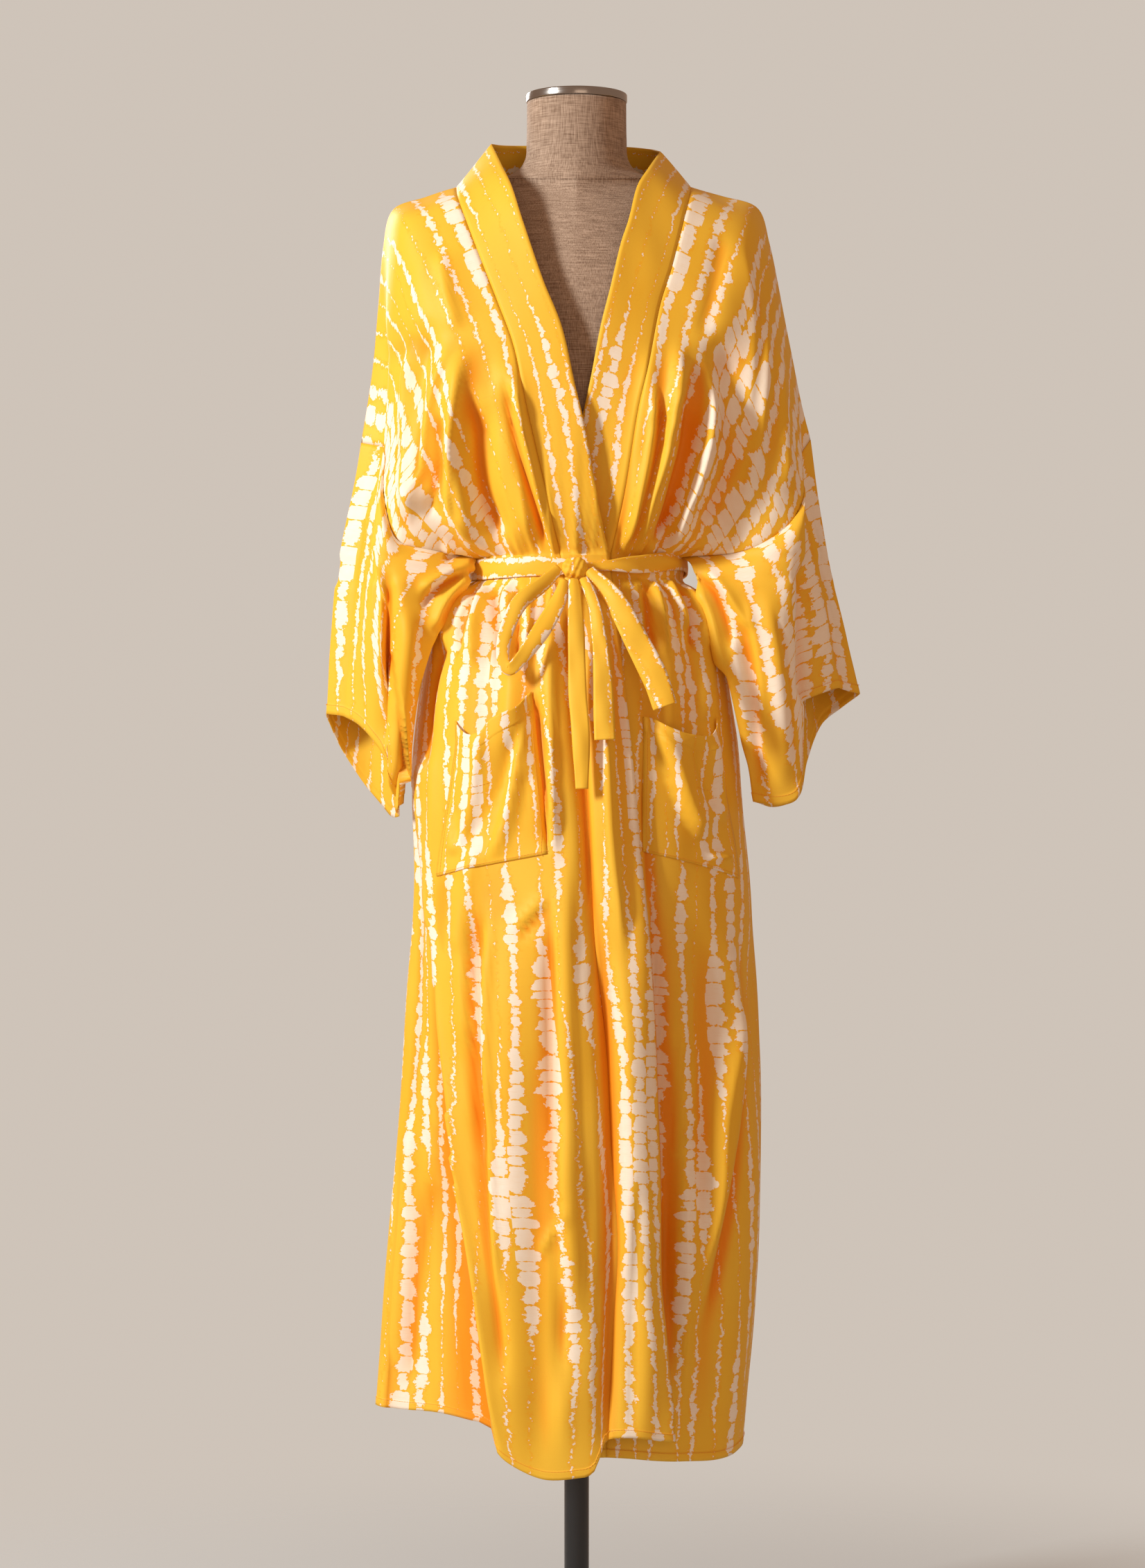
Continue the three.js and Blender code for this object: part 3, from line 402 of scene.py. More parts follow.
UNDERARM_RIGHT = on_skirt(SIDES(WAIST_TOP)[0], WAIST_TOP, UPPER_LAP).tolist()
UNDERARM_LEFT = on_skirt(SIDES(WAIST_TOP)[1], WAIST_TOP, UNDER_LAP).tolist()
RIGHT = {
    "way": -1,
    "shoulder": [[-125, 2, 1563], [-158, 1, 1553], [-191, 0, 1540], [-201, 0, 1500], [-207, 0, 1441],
                 [-214, 0, 1370], [-225, 0, 1298]],
    "front armhole": [[-225, 0, 1298], [-201, -38, 1287], [-197, -55, 1235], [-183, -62, 1192],
                      [-146, -56, 1182], UNDERARM_RIGHT],
    "back armhole": [[-225, 0, 1298], [-208, 34, 1276], [-194, 50, 1232], [-172, 52, 1192], [-136, 26, 1178],
                     UNDERARM_RIGHT],
    "sleeve top": [[-225, 0, 1298], [-230, 0, 1265], [-243, 0, 1195], [-253, 0, 1106], [-261, 0, 1016]],
    "underarm": [UNDERARM_RIGHT, [-110, -49, 1168], [-115, -57, 1153], [-126, -62, 1134], [-143, -64, 1094],
                 [-161, -58, 1026], [-169, -48, 967], [-172, -34, 919]],
    "front cuff": [[-261, 0, 1016], [-250, -22, 1013], [-232, -38, 1003], [-212, -50, 980], [-197, -54, 955],
                   [-187, -48, 935], [-172, -34, 919]],
    "back cuff": [[-261, 0, 1016], [-245, 36, 978], [-224, 46, 944], [-206, 42, 922], [-192, 20, 908],
                  [-172, -34, 919]],
}
LEFT = {
    "way": 1,
    "shoulder": [[119, 2, 1564], [153, 1, 1554], [188, 0, 1541], [200, 0, 1506], [210, 0, 1460],
                 [227, 0, 1370], [244, 0, 1301]],
    "front armhole": [[244, 0, 1301], [237, -38, 1262], [230, -56, 1229], [211, -64, 1203], [170, -58, 1181],
                      UNDERARM_LEFT],
    "back armhole": [[244, 0, 1301], [232, 36, 1270], [216, 50, 1230], [190, 50, 1196], [148, 26, 1178],
                     UNDERARM_LEFT],
    "sleeve top": [[244, 0, 1301], [252, 0, 1236], [264, 0, 1171], [281, 0, 1106], [295, 0, 1037]],
    "underarm": [UNDERARM_LEFT, [117, -50, 1168], [122, -58, 1152], [132, -62, 1128], [144, -64, 1088],
                 [157, -62, 1040], [170, -56, 985], [182, -46, 925]],
    "front cuff": [[295, 0, 1037], [279, -28, 1043], [244, -46, 1030], [236, -50, 1021], [233, -54, 989],
                   [230, -58, 940], [224, -58, 926], [206, -56, 921], [182, -46, 925]],
    "back cuff": [[295, 0, 1037], [276, 32, 1022], [257, 44, 1005], [243, 48, 968], [234, 44, 930],
                  [208, 20, 919], [182, -46, 925]],
}
NECK_SEAM = line([[-125, 2, 1563], [-106, 42, 1563], [-62, 70, 1562], [0, 80, 1561], [60, 70, 1562],
                  [101, 42, 1563], [119, 2, 1564]])
NECK_EDGE = line([[-89, 10, 1610], [-78, 36, 1613], [-48, 56, 1616], [0, 64, 1617], [47, 56, 1615],
                  [76, 36, 1609], [87, 10, 1602]])
BACK_MIDDLE = line([NECK_SEAM(0.5).tolist(), [0, 96, 1510], [0, 108, 1440], [0, 110, 1340], [0, 104, 1240],
                    [0, 96, 1195], on_skirt(180, WAIST_TOP, UPPER_LAP).tolist()])


def patch(top, bottom, start, end, depth_leaves=2.4):
    """A patch between four lines. Its depth (y) leaves the top line's course sooner than x and z do."""
    corners = [top(0), top(1), bottom(0), bottom(1)]

    def place(across, down):
        share, fall = across[None, :, None], down[:, None, None]
        blend = np.concatenate([fall, 1 - (1 - fall) ** depth_leaves, fall], -1)
        return (mix(top(across)[None] - mix(corners[0], corners[1], share),
                    bottom(across)[None] - mix(corners[2], corners[3], share), blend)
                + mix(start(down)[:, None], end(down)[:, None], share))
    return place


def ease_top(share):
    return share ** 1.25


def skirt_height(row, foot):
    """Height of a row below the waist's top: two rows under the belt, the others evenly down to the hem."""
    return np.where(row <= 2, mix(WAIST_TOP, WAIST_FOOT, row / 2),
                    mix(WAIST_FOOT, foot, (row - 2) / (SKIRT_ROWS - 2)))


class Panel:
    """Rows of points of one cut piece. Its outward side is the one that the turn of its rows and columns
    gives."""

    def __init__(self, name, points, turn, closed=False):
        self.name, self.points, self.turn, self.closed = name, points, turn, closed
        self.normals = self.directions()
        self.spread = None
        # How deep each point lies in a fold, for the painted shade in the valleys; none at first.
        self.valley = np.zeros(points.shape[:2])

    def directions(self):
        rows, columns = self.points.shape[:2]
        i, j = np.arange(rows), np.arange(columns)
        if self.closed:
            across = np.roll(self.points, -1, 1) - np.roll(self.points, 1, 1)
        else:
            across = self.points[:, np.minimum(j + 1, columns - 1)] - self.points[:, np.maximum(j - 1, 0)]
        down = self.points[np.minimum(i + 1, rows - 1)] - self.points[np.maximum(i - 1, 0)]
        normal = np.cross(down, across) * self.turn
        return normal / np.maximum(np.linalg.norm(normal, axis=-1, keepdims=True), 1e-9)

    def rim(self):
        rows, columns = self.points.shape[:2]
        places = [(i, j) for i in (0, rows - 1) for j in range(columns)]
        return places + [(i, j) for i in range(1, rows - 1) for j in (0, columns - 1)]


def join_directions(panels):
    """Where panels share points, they share the mean of their outward directions."""
    meetings = {}
    for one in panels:
        one.normals = one.directions()
        for i, j in one.rim():
            key = tuple(np.floor(one.points[i, j] * 10 + 0.314).astype(int))
            meetings.setdefault(key, []).append((one, i, j))
    for places in meetings.values():
        total = sum(one.normals[i, j] for one, i, j in places)
        for one, i, j in places:
            one.normals[i, j] = total / max(np.linalg.norm(total), 1e-9)


# Rows of every panel, in the rows of its tables: fine at the hem, where the cloth is turned up. Each column
# of the tables has FINE columns of points.
FINE, HEM_START, HEM_LEVEL = 4, 27.8, 260
BODICE = np.linspace(0, BODICE_ROWS, BODICE_ROWS * 9 + 1)
BELOW = np.concatenate([np.linspace(BODICE_ROWS, HEM_START, SKIRT_ROWS * 10)[1:],
                        [27.84, 27.862, 27.87, 27.9, 27.95, 28]])
BACK_FULLNESS = 8


def back_panel():
    columns = 2 * FRONT_COLUMNS + NECK_COLUMNS
    right_top, left_top = line(RIGHT["shoulder"]), line(LEFT["shoulder"])

    def top(across):
        column = np.asarray(across * columns, float)[..., None]
        neck = NECK_SEAM(np.clip((column[..., 0] - FRONT_COLUMNS) / NECK_COLUMNS, 0, 1))
        right = right_top(np.clip(1 - column[..., 0] / FRONT_COLUMNS, 0, 1))
        left = left_top(np.clip((column[..., 0] - FRONT_COLUMNS - NECK_COLUMNS) / FRONT_COLUMNS, 0, 1))
        neck_or_left = np.where(column < FRONT_COLUMNS + NECK_COLUMNS, neck, left)
        return np.where(column <= FRONT_COLUMNS, right, neck_or_left)

    def angle_at(across, height):
        sides = SIDES(height)
        return mix(sides[..., 0], sides[..., 1] - 360, across)

    def waist(across):
        return on_skirt(angle_at(across, np.full(np.shape(across), WAIST_TOP)), WAIST_TOP, UPPER_LAP)

    right_half = patch(lambda a: top(np.asarray(a) / 2), lambda a: waist(np.asarray(a) / 2),
                       line(RIGHT["back armhole"]), BACK_MIDDLE, BACK_FULLNESS)
    left_half = patch(lambda a: top(0.5 + np.asarray(a) / 2), lambda a: waist(0.5 + np.asarray(a) / 2),
                      BACK_MIDDLE, line(LEFT["back armhole"]), BACK_FULLNESS)
    across = np.linspace(0, 1, columns * FINE + 1)
    middle = columns * FINE // 2
    down = ease_top(BODICE / BODICE_ROWS)
    upper = np.concatenate([right_half(across[:middle + 1] * 2, down),
                            left_half(across[middle + 1:] * 2 - 1, down)], 1)
    foot = BACK_HEM(angle_at(across, np.full(across.shape, HEM_LEVEL)))
    height = skirt_height(BELOW[:, None] - BODICE_ROWS, foot[None])
    lower = on_skirt(angle_at(across[None], height), height, UPPER_LAP)
    return Panel("back", np.concatenate([upper, lower]), -1)


back = back_panel()


# The fronts: the wearer's right one laps over the left. Each hangs in long folds from the belt, and the lower
# part of the right one turns back over itself at its side.
UPPER_LINES = by_height([
    # height, the band's seam, the pocket's inner edge, its outer edge, the edge of the fold over the side
    [1177, -17, -34, -68, -82],
    [1081, 0, -40, -100, -122],
    [1030, 4, -44, -114, -136],
    [921, 11, -34, -131, -148],
    [850, 15, -28, -141, -155],
    [783, 19, -28, -139, -154],
    [683, 31, -26, -128, -147],
    [583, 36, -26, -112, -133],
    [478, 42, -26, -90, -112],
    [385, 38, -28, -78, -101],
    [308, 34, -30, -66, -88],
    [245, 31, -30, -52, -72],
])
UNDER_LINES = by_height([
    # height, the band's seam, the pocket's inner edge, its outer edge, the edge of the fold over the side
    [1177, 34, 50, 82, 94],
    [1081, 33, 60, 118, 131],
    [1011, 32, 66, 141, 150],
    [921, 31, 67, 154, 163],
    [850, 30, 67, 165, 172],
    [740, 30, 66, 164, 175],
    [583, 30, 66, 156, 175],
    [385, 30, 64, 144, 166],
    [245, 30, 62, 132, 153],
])
LINE_COLUMNS = np.array([0, 3, 9, 11, 16])
FREE_EDGES = by_height([
    # height, the band's free edge on the upper lap, on the under lap
    [1177, 32, -19],
    [1081, 44, -28],
    [921, 61, -34],
    [783, 74, -36],
    [683, 84, -36],
    [583, 87, -36],
    [478, 90, -36],
    [385, 95, -36],
    [245, 101, -36],
])
FOLD_TOP, FOLD_DEEP, FOLD_BACK = 730, 540, 0.52


def on_waist(x, lap):
    return on_skirt(angle_of(x, np.float64(WAIST_TOP)), WAIST_TOP, lap).tolist()


UPPER_BAND_SEAM = line([[-125, 2, 1563], [-121, -58, 1541], [-107, -84, 1501], [-94, -99, 1466],
                        [-79, -110, 1427], [-65, -118, 1389], [-54, -124, 1343], [-48, -124, 1314],
                        [-26, -112, 1218], on_waist(UPPER_LINES(WAIST_TOP)[0], UPPER_LAP)])
UPPER_BAND_EDGE = line([[-89, 10, 1610], [-76, -52, 1576], [-66, -82, 1551], [-55, -102, 1514],
                        [-34, -120, 1451], [-15, -127, 1403], [-1, -130, 1341], [7, -130, 1308],
                        [22, -117, 1225], on_waist(FREE_EDGES(WAIST_TOP)[0], UPPER_LAP)])
UNDER_BAND_SEAM = line([[119, 2, 1564], [116, -46, 1548], [110, -72, 1523], [96, -97, 1466], [84, -107, 1427],
                        [73, -116, 1372], [61, -118, 1321], [48, -108, 1240],
                        on_waist(UNDER_LINES(WAIST_TOP)[0], UNDER_LAP)])
UNDER_BAND_EDGE = line([[87, 10, 1602], [73, -52, 1574], [62, -80, 1552], [53, -100, 1515], [45, -109, 1490],
                        [34, -118, 1444], [24, -122, 1404], [14, -122, 1352], [3, -117, 1300],
                        [-9, -106, 1235], on_waist(FREE_EDGES(WAIST_TOP)[1], UNDER_LAP)])


def front_panel(name, side, band_seam, lap, lines, hem):
    def angle_at(across, height):
        across, height = np.broadcast_arrays(across, height)
        side_seam = SIDES(height)[..., [0 if side["way"] < 0 else 1]]
        knots = np.concatenate([angle_of(lines(height), height[..., None]), side_seam], -1)
        column = across * FRONT_COLUMNS
        i = np.clip(np.searchsorted(LINE_COLUMNS, column, side="left") - 1, 0, 3)
        share = (column - LINE_COLUMNS[i]) / (LINE_COLUMNS[i + 1] - LINE_COLUMNS[i])
        first = np.take_along_axis(knots, i[..., None], -1)[..., 0]
        second = np.take_along_axis(knots, i[..., None] + 1, -1)[..., 0]
        return mix(first, second, share)

    def waist(across):
        angles = angle_at(np.asarray(across, float), np.full(np.shape(across), WAIST_TOP))
        return on_skirt(angles, WAIST_TOP, lap)

    across = np.linspace(0, 1, FRONT_COLUMNS * FINE + 1)
    bodice = patch(line(side["shoulder"]), waist, band_seam, line(side["front armhole"]))
    upper = bodice(across, ease_top(BODICE / BODICE_ROWS))
    foot = hem(angle_at(across, np.full(across.shape, HEM_LEVEL)))
    height = skirt_height(BELOW[:, None] - BODICE_ROWS, foot[None])
    lower = on_skirt(angle_at(across[None], height), height, lap)
    if lap == UPPER_LAP:
        column = across[None] * FRONT_COLUMNS
        behind = smooth((column - LINE_COLUMNS[3]) / 2) * smooth((FRONT_COLUMNS - column) / 2)
        lower[..., 1] *= 1 - FOLD_BACK * behind * smooth((FOLD_TOP - height) / (FOLD_TOP - FOLD_DEEP))
    return Panel(name, np.concatenate([upper, lower]), side["way"])


front_right = front_panel("front right", RIGHT, UPPER_BAND_SEAM, UPPER_LAP, UPPER_LINES, upper_foot)
front_left = front_panel("front left", LEFT, UNDER_BAND_SEAM, UNDER_LAP, UNDER_LINES, under_foot)


# The front band: a doubled strip of the same cloth sewn to the fronts and round the back of the neck, in two
# lengths joined at the back. Its free edge is a fold.
def band_panel(name, way, seam_line, edge_line, lap, lines, hem):
    neck_down = np.linspace(0, NECK_COLUMNS / 2, 33)[:-1]
    across = np.linspace(0, 1, 16)
    along = 0.5 + way * neck_down / NECK_COLUMNS
    neck = mix(NECK_SEAM(along)[:, None], NECK_EDGE(along)[:, None], across[None, :, None])
    share = ease_top(BODICE / BODICE_ROWS)
    upper = mix(seam_line(share)[:, None], edge_line(share)[:, None], across[None, :, None])

    def angle_at(height):
        return mix(angle_of(lines(height)[..., 0], height),
                   angle_of(FREE_EDGES(height)[..., 0 if way < 0 else 1], height), across)
    foot = hem(angle_at(np.full(across.shape, HEM_LEVEL)))
    height = skirt_height(BELOW[:, None] - BODICE_ROWS, foot[None])
    lower = on_skirt(angle_at(height), height, lap)
    return Panel(name, np.concatenate([neck, upper, lower]), -way)


band_right = band_panel("band right", -1, UPPER_BAND_SEAM, UPPER_BAND_EDGE, UPPER_LAP, UPPER_LINES,
                        upper_foot)
band_left = band_panel("band left", 1, UNDER_BAND_SEAM, UNDER_BAND_EDGE, UNDER_LAP, UNDER_LINES, under_foot)


# The sleeves: wide short tubes set into dropped armholes, open at the cuff, where the cloth is turned in.
CUFF_DOWN = np.concatenate([np.linspace(0, 0.955, 70), [0.962, 0.966, 0.972, 0.985, 1]])


def sleeve_panel(name, side):
    top_line, underarm = line(side["sleeve top"]), line(side["underarm"])

    def armhole(points):
        return lambda across: line(points)(ease_top(np.asarray(across, float)))
    front = patch(armhole(side["front armhole"]), line(side["front cuff"]), top_line, underarm)
    behind = patch(armhole(side["back armhole"]), line(side["back cuff"]), top_line, underarm)
    share = BODICE / BODICE_ROWS
    points = np.concatenate([front(share, CUFF_DOWN), behind(share[::-1][1:-1], CUFF_DOWN)], 1)
    return Panel(name, points, -side["way"], closed=True)


sleeve_right = sleeve_panel("sleeve right", RIGHT)
sleeve_left = sleeve_panel("sleeve left", LEFT)


# Folds. Each stands out from its panel by so much (a valley is negative) along a line of (x, z) points, and
# its foot reaches so far to the right (-X) and to the left (+X) of the line. The long ones are the part's
# own.
FOLD_FADE_IN, FOLD_FADE_OUT, STEP_FADE_IN = 0.22, 0.18, 0.3
FRONT_FOLDS = [
    # out, reach right, reach left, points
    (9, 16, 11, [(-129, 1400), (-146, 1319), (-168, 1206)]),
    (10, 10, 9, [(-114, 1395), (-126, 1290), (-104, 1180)]),
    (8, 13, 9, [(-73, 1380), (-56, 1272), (-42, 1180)]),
    (-10, 12, 12, [(-93, 1330), (-92, 1250), (-72, 1180)]),
    (7, 9, 12, [(78, 1390), (62, 1281), (50, 1180)]),
    (9, 9, 11, [(106, 1400), (91, 1288), (66, 1180)]),
    (9, 10, 13, [(139, 1380), (131, 1284), (92, 1180)]),
    (-8, 10, 10, [(122, 1330), (110, 1250), (80, 1180)]),
    (6, 10, 10, [(-52, 1150), (-62, 1070), (-70, 960)]),
    (6, 10, 10, [(-82, 1150), (-106, 1090), (-118, 980)]),
    (6, 10, 10, [(70, 1150), (88, 1090), (96, 980)]),
    (5, 10, 10, [(100, 1150), (126, 1100), (136, 1000)]),
    (7, 14, 6, [(-29, 1120), (-29, 1020), (-22, 860)]),
    (-6, 8, 6, [(-10, 1150), (8, 900), (22, 760)]),
    (9, 30, 9, [(-10, 900), (-9, 690), (0, 380)]),
    (-13, 10, 12, [(17, 840), (34, 600), (30, 240)]),
    (7, 22, 22, [(-64, 830), (-72, 560), (-66, 240)]),
    (-5, 14, 14, [(-40, 700), (-38, 480), (-36, 240)]),
    (6, 22, 14, [(166, 740), (138, 520), (108, 400)]),
    (-6, 20, 20, [(118, 830), (122, 560), (128, 240)]),
    (6, 16, 16, [(62, 900), (66, 560), (66, 240)]),
]
STEPS = [
    # side, how far the side lies back, over what width, edge points
    (-1, 12, 10, [(-190, 1545), (-193, 1451), (-197, 1343), (-200, 1284), (-204, 1241), (-205, 1184),
                  (-201, 1150), (-191, 1112), (-187, 1079)]),
    (1, 12, 10, [(214, 1480), (222, 1400), (230, 1321), (233, 1241), (233, 1043)]),
]
SLEEVE_FOLDS = [
    # out, reach right, reach left, points
    (-22, 9, 9, [(-197, 1170), (-193, 1091), (-199, 1040), (-200, 975)]),
    (-16, 9, 9, [(234, 1180), (236, 1110), (236, 1020)]),
    (6, 8, 8, [(-166, 1130), (-176, 1040), (-184, 930)]),
    (8, 12, 12, [(190, 1150), (206, 1060), (212, 930)]),
    (-7, 9, 9, [(160, 1140), (178, 1060), (188, 930)]),
]
BACK_FOLDS = [
    # out, reach right, reach left, points
    (7, 12, 12, [(-60, 1420), (-56, 1300), (-44, 1180)]),
    (8, 12, 12, [(-110, 1420), (-100, 1300), (-72, 1180)]),
    (-7, 10, 10, [(-30, 1330), (-22, 1240), (-18, 1180)]),
    (6, 12, 12, [(14, 1400), (12, 1280), (10, 1180)]),
    (8, 12, 12, [(66, 1420), (60, 1300), (46, 1180)]),
    (7, 12, 12, [(116, 1420), (108, 1300), (76, 1180)]),
    (9, 20, 20, [(-20, 1150), (-34, 900), (-44, 240)]),
    (10, 20, 20, [(24, 1150), (34, 900), (40, 240)]),
    (9, 20, 20, [(-60, 1150), (-92, 900), (-120, 240)]),
    (9, 20, 20, [(60, 1150), (94, 900), (112, 240)]),
    (-8, 18, 18, [(0, 1100), (-2, 800), (-2, 240)]),
]
# Creases: narrower than folds, with a tighter crest, seen only here.
FRONT_CREASES = [
    # out, reach right, reach left, points
    (4, 9, 4, [(-114, 1377), (-118, 1327), (-125, 1283), (-128, 1242), (-127, 1220), (-118, 1209),
               (-100, 1195), (-75, 1175)]),
    (-5, 6, 12, [(-108, 1344), (-104, 1302), (-100, 1252), (-93, 1217), (-77, 1189)]),
    (3, 10, 4, [(-129, 1383), (-137, 1358), (-147, 1320), (-157, 1260), (-165, 1231), (-172, 1202)]),
    (-3, 5, 9, [(-135, 1323), (-139, 1281), (-143, 1245), (-152, 1210)]),
    (-6, 6, 4, [(-71, 1360), (-67, 1316), (-53, 1258), (-37, 1204), (-31, 1172)]),
    (4, 5, 5, [(-63, 1365), (-54, 1302), (-41, 1245), (-25, 1174)]),
    (2.5, 7, 7, [(-93, 1173), (-120, 1184), (-140, 1184)]),
    (-2.5, 5, 5, [(-93, 1176), (-118, 1179), (-138, 1174)]),
    (4, 6, 6, [(-97, 1166), (-118, 1163), (-145, 1151), (-163, 1138)]),
    (-4, 5, 5, [(-98, 1166), (-120, 1155), (-142, 1140), (-158, 1120)]),
    (5, 7, 5, [(-99, 1164), (-118, 1150), (-137, 1129), (-150, 1098)]),
    (3, 5, 7, [(-107, 1149), (-127, 1115), (-140, 1077)]),
    (-3, 4, 4, [(-98, 1149), (-115, 1112), (-124, 1070)]),
    (4, 4, 5, [(-90, 1150), (-100, 1112), (-102, 1060)]),
    (-4, 4, 4, [(-86, 1149), (-80, 1104), (-79, 1063)]),
    (4, 5, 5, [(-72, 1149), (-69, 1115), (-68, 1050)]),
    (-3, 3, 3, [(-60, 1150), (-58, 1110), (-60, 1060)]),
    (3, 4, 4, [(-46, 1150), (-47, 1110), (-48, 1040)]),
    (5, 4, 8, [(79, 1354), (73, 1289), (60, 1231), (43, 1172)]),
    (-5, 4, 6, [(81, 1344), (84, 1309), (79, 1271), (65, 1225), (50, 1174)]),
    (6, 10, 3, [(106, 1383), (107, 1354), (97, 1307), (88, 1271), (72, 1227), (58, 1172)]),
    (-5, 3, 9, [(112, 1344), (108, 1288), (97, 1245), (83, 1195), (74, 1174)]),
    (6, 4, 9, [(137, 1354), (133, 1294), (122, 1249), (106, 1215), (88, 1175)]),
    (-8, 22, 26, [(140, 1410), (156, 1330), (160, 1265), (140, 1215), (116, 1190)]),
    (3, 5, 8, [(188, 1440), (192, 1360), (184, 1280), (166, 1220)]),
    (-6, 20, 16, [(-150, 1420), (-160, 1350), (-162, 1280), (-150, 1230)]),
    (5, 6, 9, [(-172, 1400), (-180, 1330), (-176, 1262), (-160, 1215)]),
    (4, 4, 5, [(90, 1152), (102, 1126), (113, 1100)]),
    (3, 5, 4, [(104, 1150), (122, 1122), (130, 1079)]),
    (-4, 4, 4, [(98, 1152), (114, 1122), (120, 1075)]),
    (4, 4, 5, [(76, 1150), (83, 1119), (87, 1070)]),
    (-3, 4, 4, [(66, 1150), (72, 1119), (76, 1070)]),
    (3, 4, 4, [(58, 1150), (63, 1119), (67, 1070)]),
    (3.5, 6, 6, [(122, 1160), (144, 1151), (162, 1126), (178, 1096)]),
    (-4, 5, 5, [(116, 1158), (139, 1142), (152, 1112), (160, 1080)]),
    (4, 6, 6, [(114, 1154), (134, 1130), (146, 1090), (152, 1050)]),
    (-6, 7, 4, [(-41, 1039), (-33, 960), (-31, 870)]),
    (3, 4, 8, [(-24, 1130), (-25, 1000), (-24, 870)]),
    (-4, 5, 3, [(-12, 1150), (2, 1028), (9, 938), (15, 812)]),
    (3, 10, 14, [(40, 820), (50, 640), (52, 420)]),
    (-3, 12, 9, [(96, 700), (100, 560), (84, 380)]),
    (2.5, 9, 6, [(166, 720), (147, 602), (140, 500), (114, 415)]),
    (-4, 8, 8, [(-96, 640), (-88, 500), (-72, 330)]),
    (4, 12, 8, [(-100, 900), (-112, 780), (-108, 660)]),
    (2.5, 4, 6, [(-122, 850), (-120, 800), (-123, 770)]),
    (3, 12, 12, [(-16, 620), (-18, 420), (-10, 260)]),
    (-3, 10, 10, [(60, 560), (58, 400), (56, 270)]),
    (3, 8, 8, [(-176, 620), (-186, 480), (-196, 330)]),
    (-3, 8, 8, [(-160, 560), (-172, 440), (-182, 310)]),
    (2, 9, 6, [(-146, 1000), (-146, 900), (-152, 780)]),
    (2.5, 6, 9, [(-140, 1490), (-132, 1440), (-120, 1400)]),
    (-2, 8, 8, [(150, 1510), (140, 1450), (126, 1390)]),
    (2, 8, 8, [(170, 1500), (180, 1400), (176, 1300)]),
    (-3, 14, 10, [(-186, 1420), (-184, 1320), (-180, 1250)]),
    (3, 8, 8, [(205, 1400), (212, 1310), (214, 1240)]),
    (-7, 12, 4, [(-157, 800), (-153, 690), (-139, 583), (-119, 478), (-104, 385), (-92, 308), (-78, 240)]),
    (4, 3, 9, [(-149, 780), (-145, 690), (-130, 583), (-109, 478), (-95, 385), (-84, 308), (-68, 240)]),
    (-5, 5, 14, [(166, 830), (178, 694), (170, 589), (146, 455), (132, 380)]),
    (3.5, 12, 5, [(150, 820), (164, 694), (158, 589), (130, 430), (118, 370)]),
    (-6, 10, 6, [(-26, 860), (-24, 640), (-16, 420), (-14, 300)]),
    (5, 10, 5, [(24, 1140), (34, 900), (48, 760)]),
    (-5, 5, 8, [(62, 1000), (80, 760), (90, 560), (98, 300)]),
    (4, 6, 12, [(104, 830), (108, 600), (112, 300)]),
    (-5, 6, 9, [(-100, 830), (-104, 700), (-96, 560)]),
    (4, 7, 5, [(-86, 840), (-90, 700), (-84, 540), (-76, 400)]),
    (-4, 8, 6, [(-128, 1110), (-150, 1040), (-158, 950)]),
    (2.5, 3, 5, [(-62, 795), (-44, 815), (-30, 828)]),
    (-2, 4, 3, [(-60, 788), (-42, 806), (-28, 820)]),
    (2, 4, 4, [(96, 560), (112, 590), (122, 610)]),
    (2, 4, 4, [(-40, 470), (-20, 500), (-8, 520)]),
]
BACK_CREASES = [
    # out, reach right, reach left, points
    (3, 5, 5, [(-86, 1360), (-80, 1270), (-58, 1178)]),
    (-3, 5, 5, [(-50, 1300), (-42, 1240), (-32, 1178)]),
    (3, 6, 6, [(-8, 1350), (-6, 1260), (-4, 1178)]),
    (-3, 5, 5, [(36, 1320), (30, 1250), (26, 1178)]),
    (3, 5, 5, [(92, 1380), (80, 1280), (60, 1178)]),
    (-3, 6, 6, [(140, 1360), (124, 1270), (88, 1178)]),
    (-3, 6, 6, [(-140, 1360), (-124, 1270), (-86, 1178)]),
    (4, 6, 6, [(-70, 1150), (-84, 1080), (-94, 960)]),
    (-3, 5, 5, [(-44, 1150), (-52, 1090), (-56, 980)]),
    (3, 6, 6, [(4, 1150), (4, 1080), (6, 950)]),
    (-3, 5, 5, [(42, 1150), (50, 1090), (56, 980)]),
    (4, 6, 6, [(74, 1150), (90, 1080), (100, 960)]),
    (-4, 12, 12, [(-66, 760), (-80, 560), (-90, 260)]),
    (-4, 12, 12, [(70, 760), (80, 560), (86, 260)]),
    (3, 12, 12, [(-140, 900), (-160, 620), (-180, 300)]),
    (3, 12, 12, [(140, 900), (156, 620), (160, 280)]),
    (3, 30, 30, [(-100, 1480), (0, 1470), (100, 1480)]),
]
SLEEVE_CREASES = [
    # out, reach right, reach left, points
    (2, 5, 7, [(-172, 1130), (-180, 1060), (-186, 1000)]),
    (3, 7, 7, [(-214, 1260), (-222, 1160), (-232, 1030)]),
    (-2.5, 7, 7, [(-228, 1240), (-238, 1150), (-246, 1040)]),
    (5, 6, 6, [(172, 1140), (186, 1060), (194, 950)]),
    (-4, 6, 6, [(198, 1130), (216, 1060), (222, 960)]),
    (3, 8, 8, [(252, 1240), (262, 1140), (270, 1050)]),
    (-3, 8, 8, [(262, 1200), (272, 1120), (284, 1050)]),
    (4, 7, 7, [(150, 1130), (166, 1060), (180, 960)]),
]


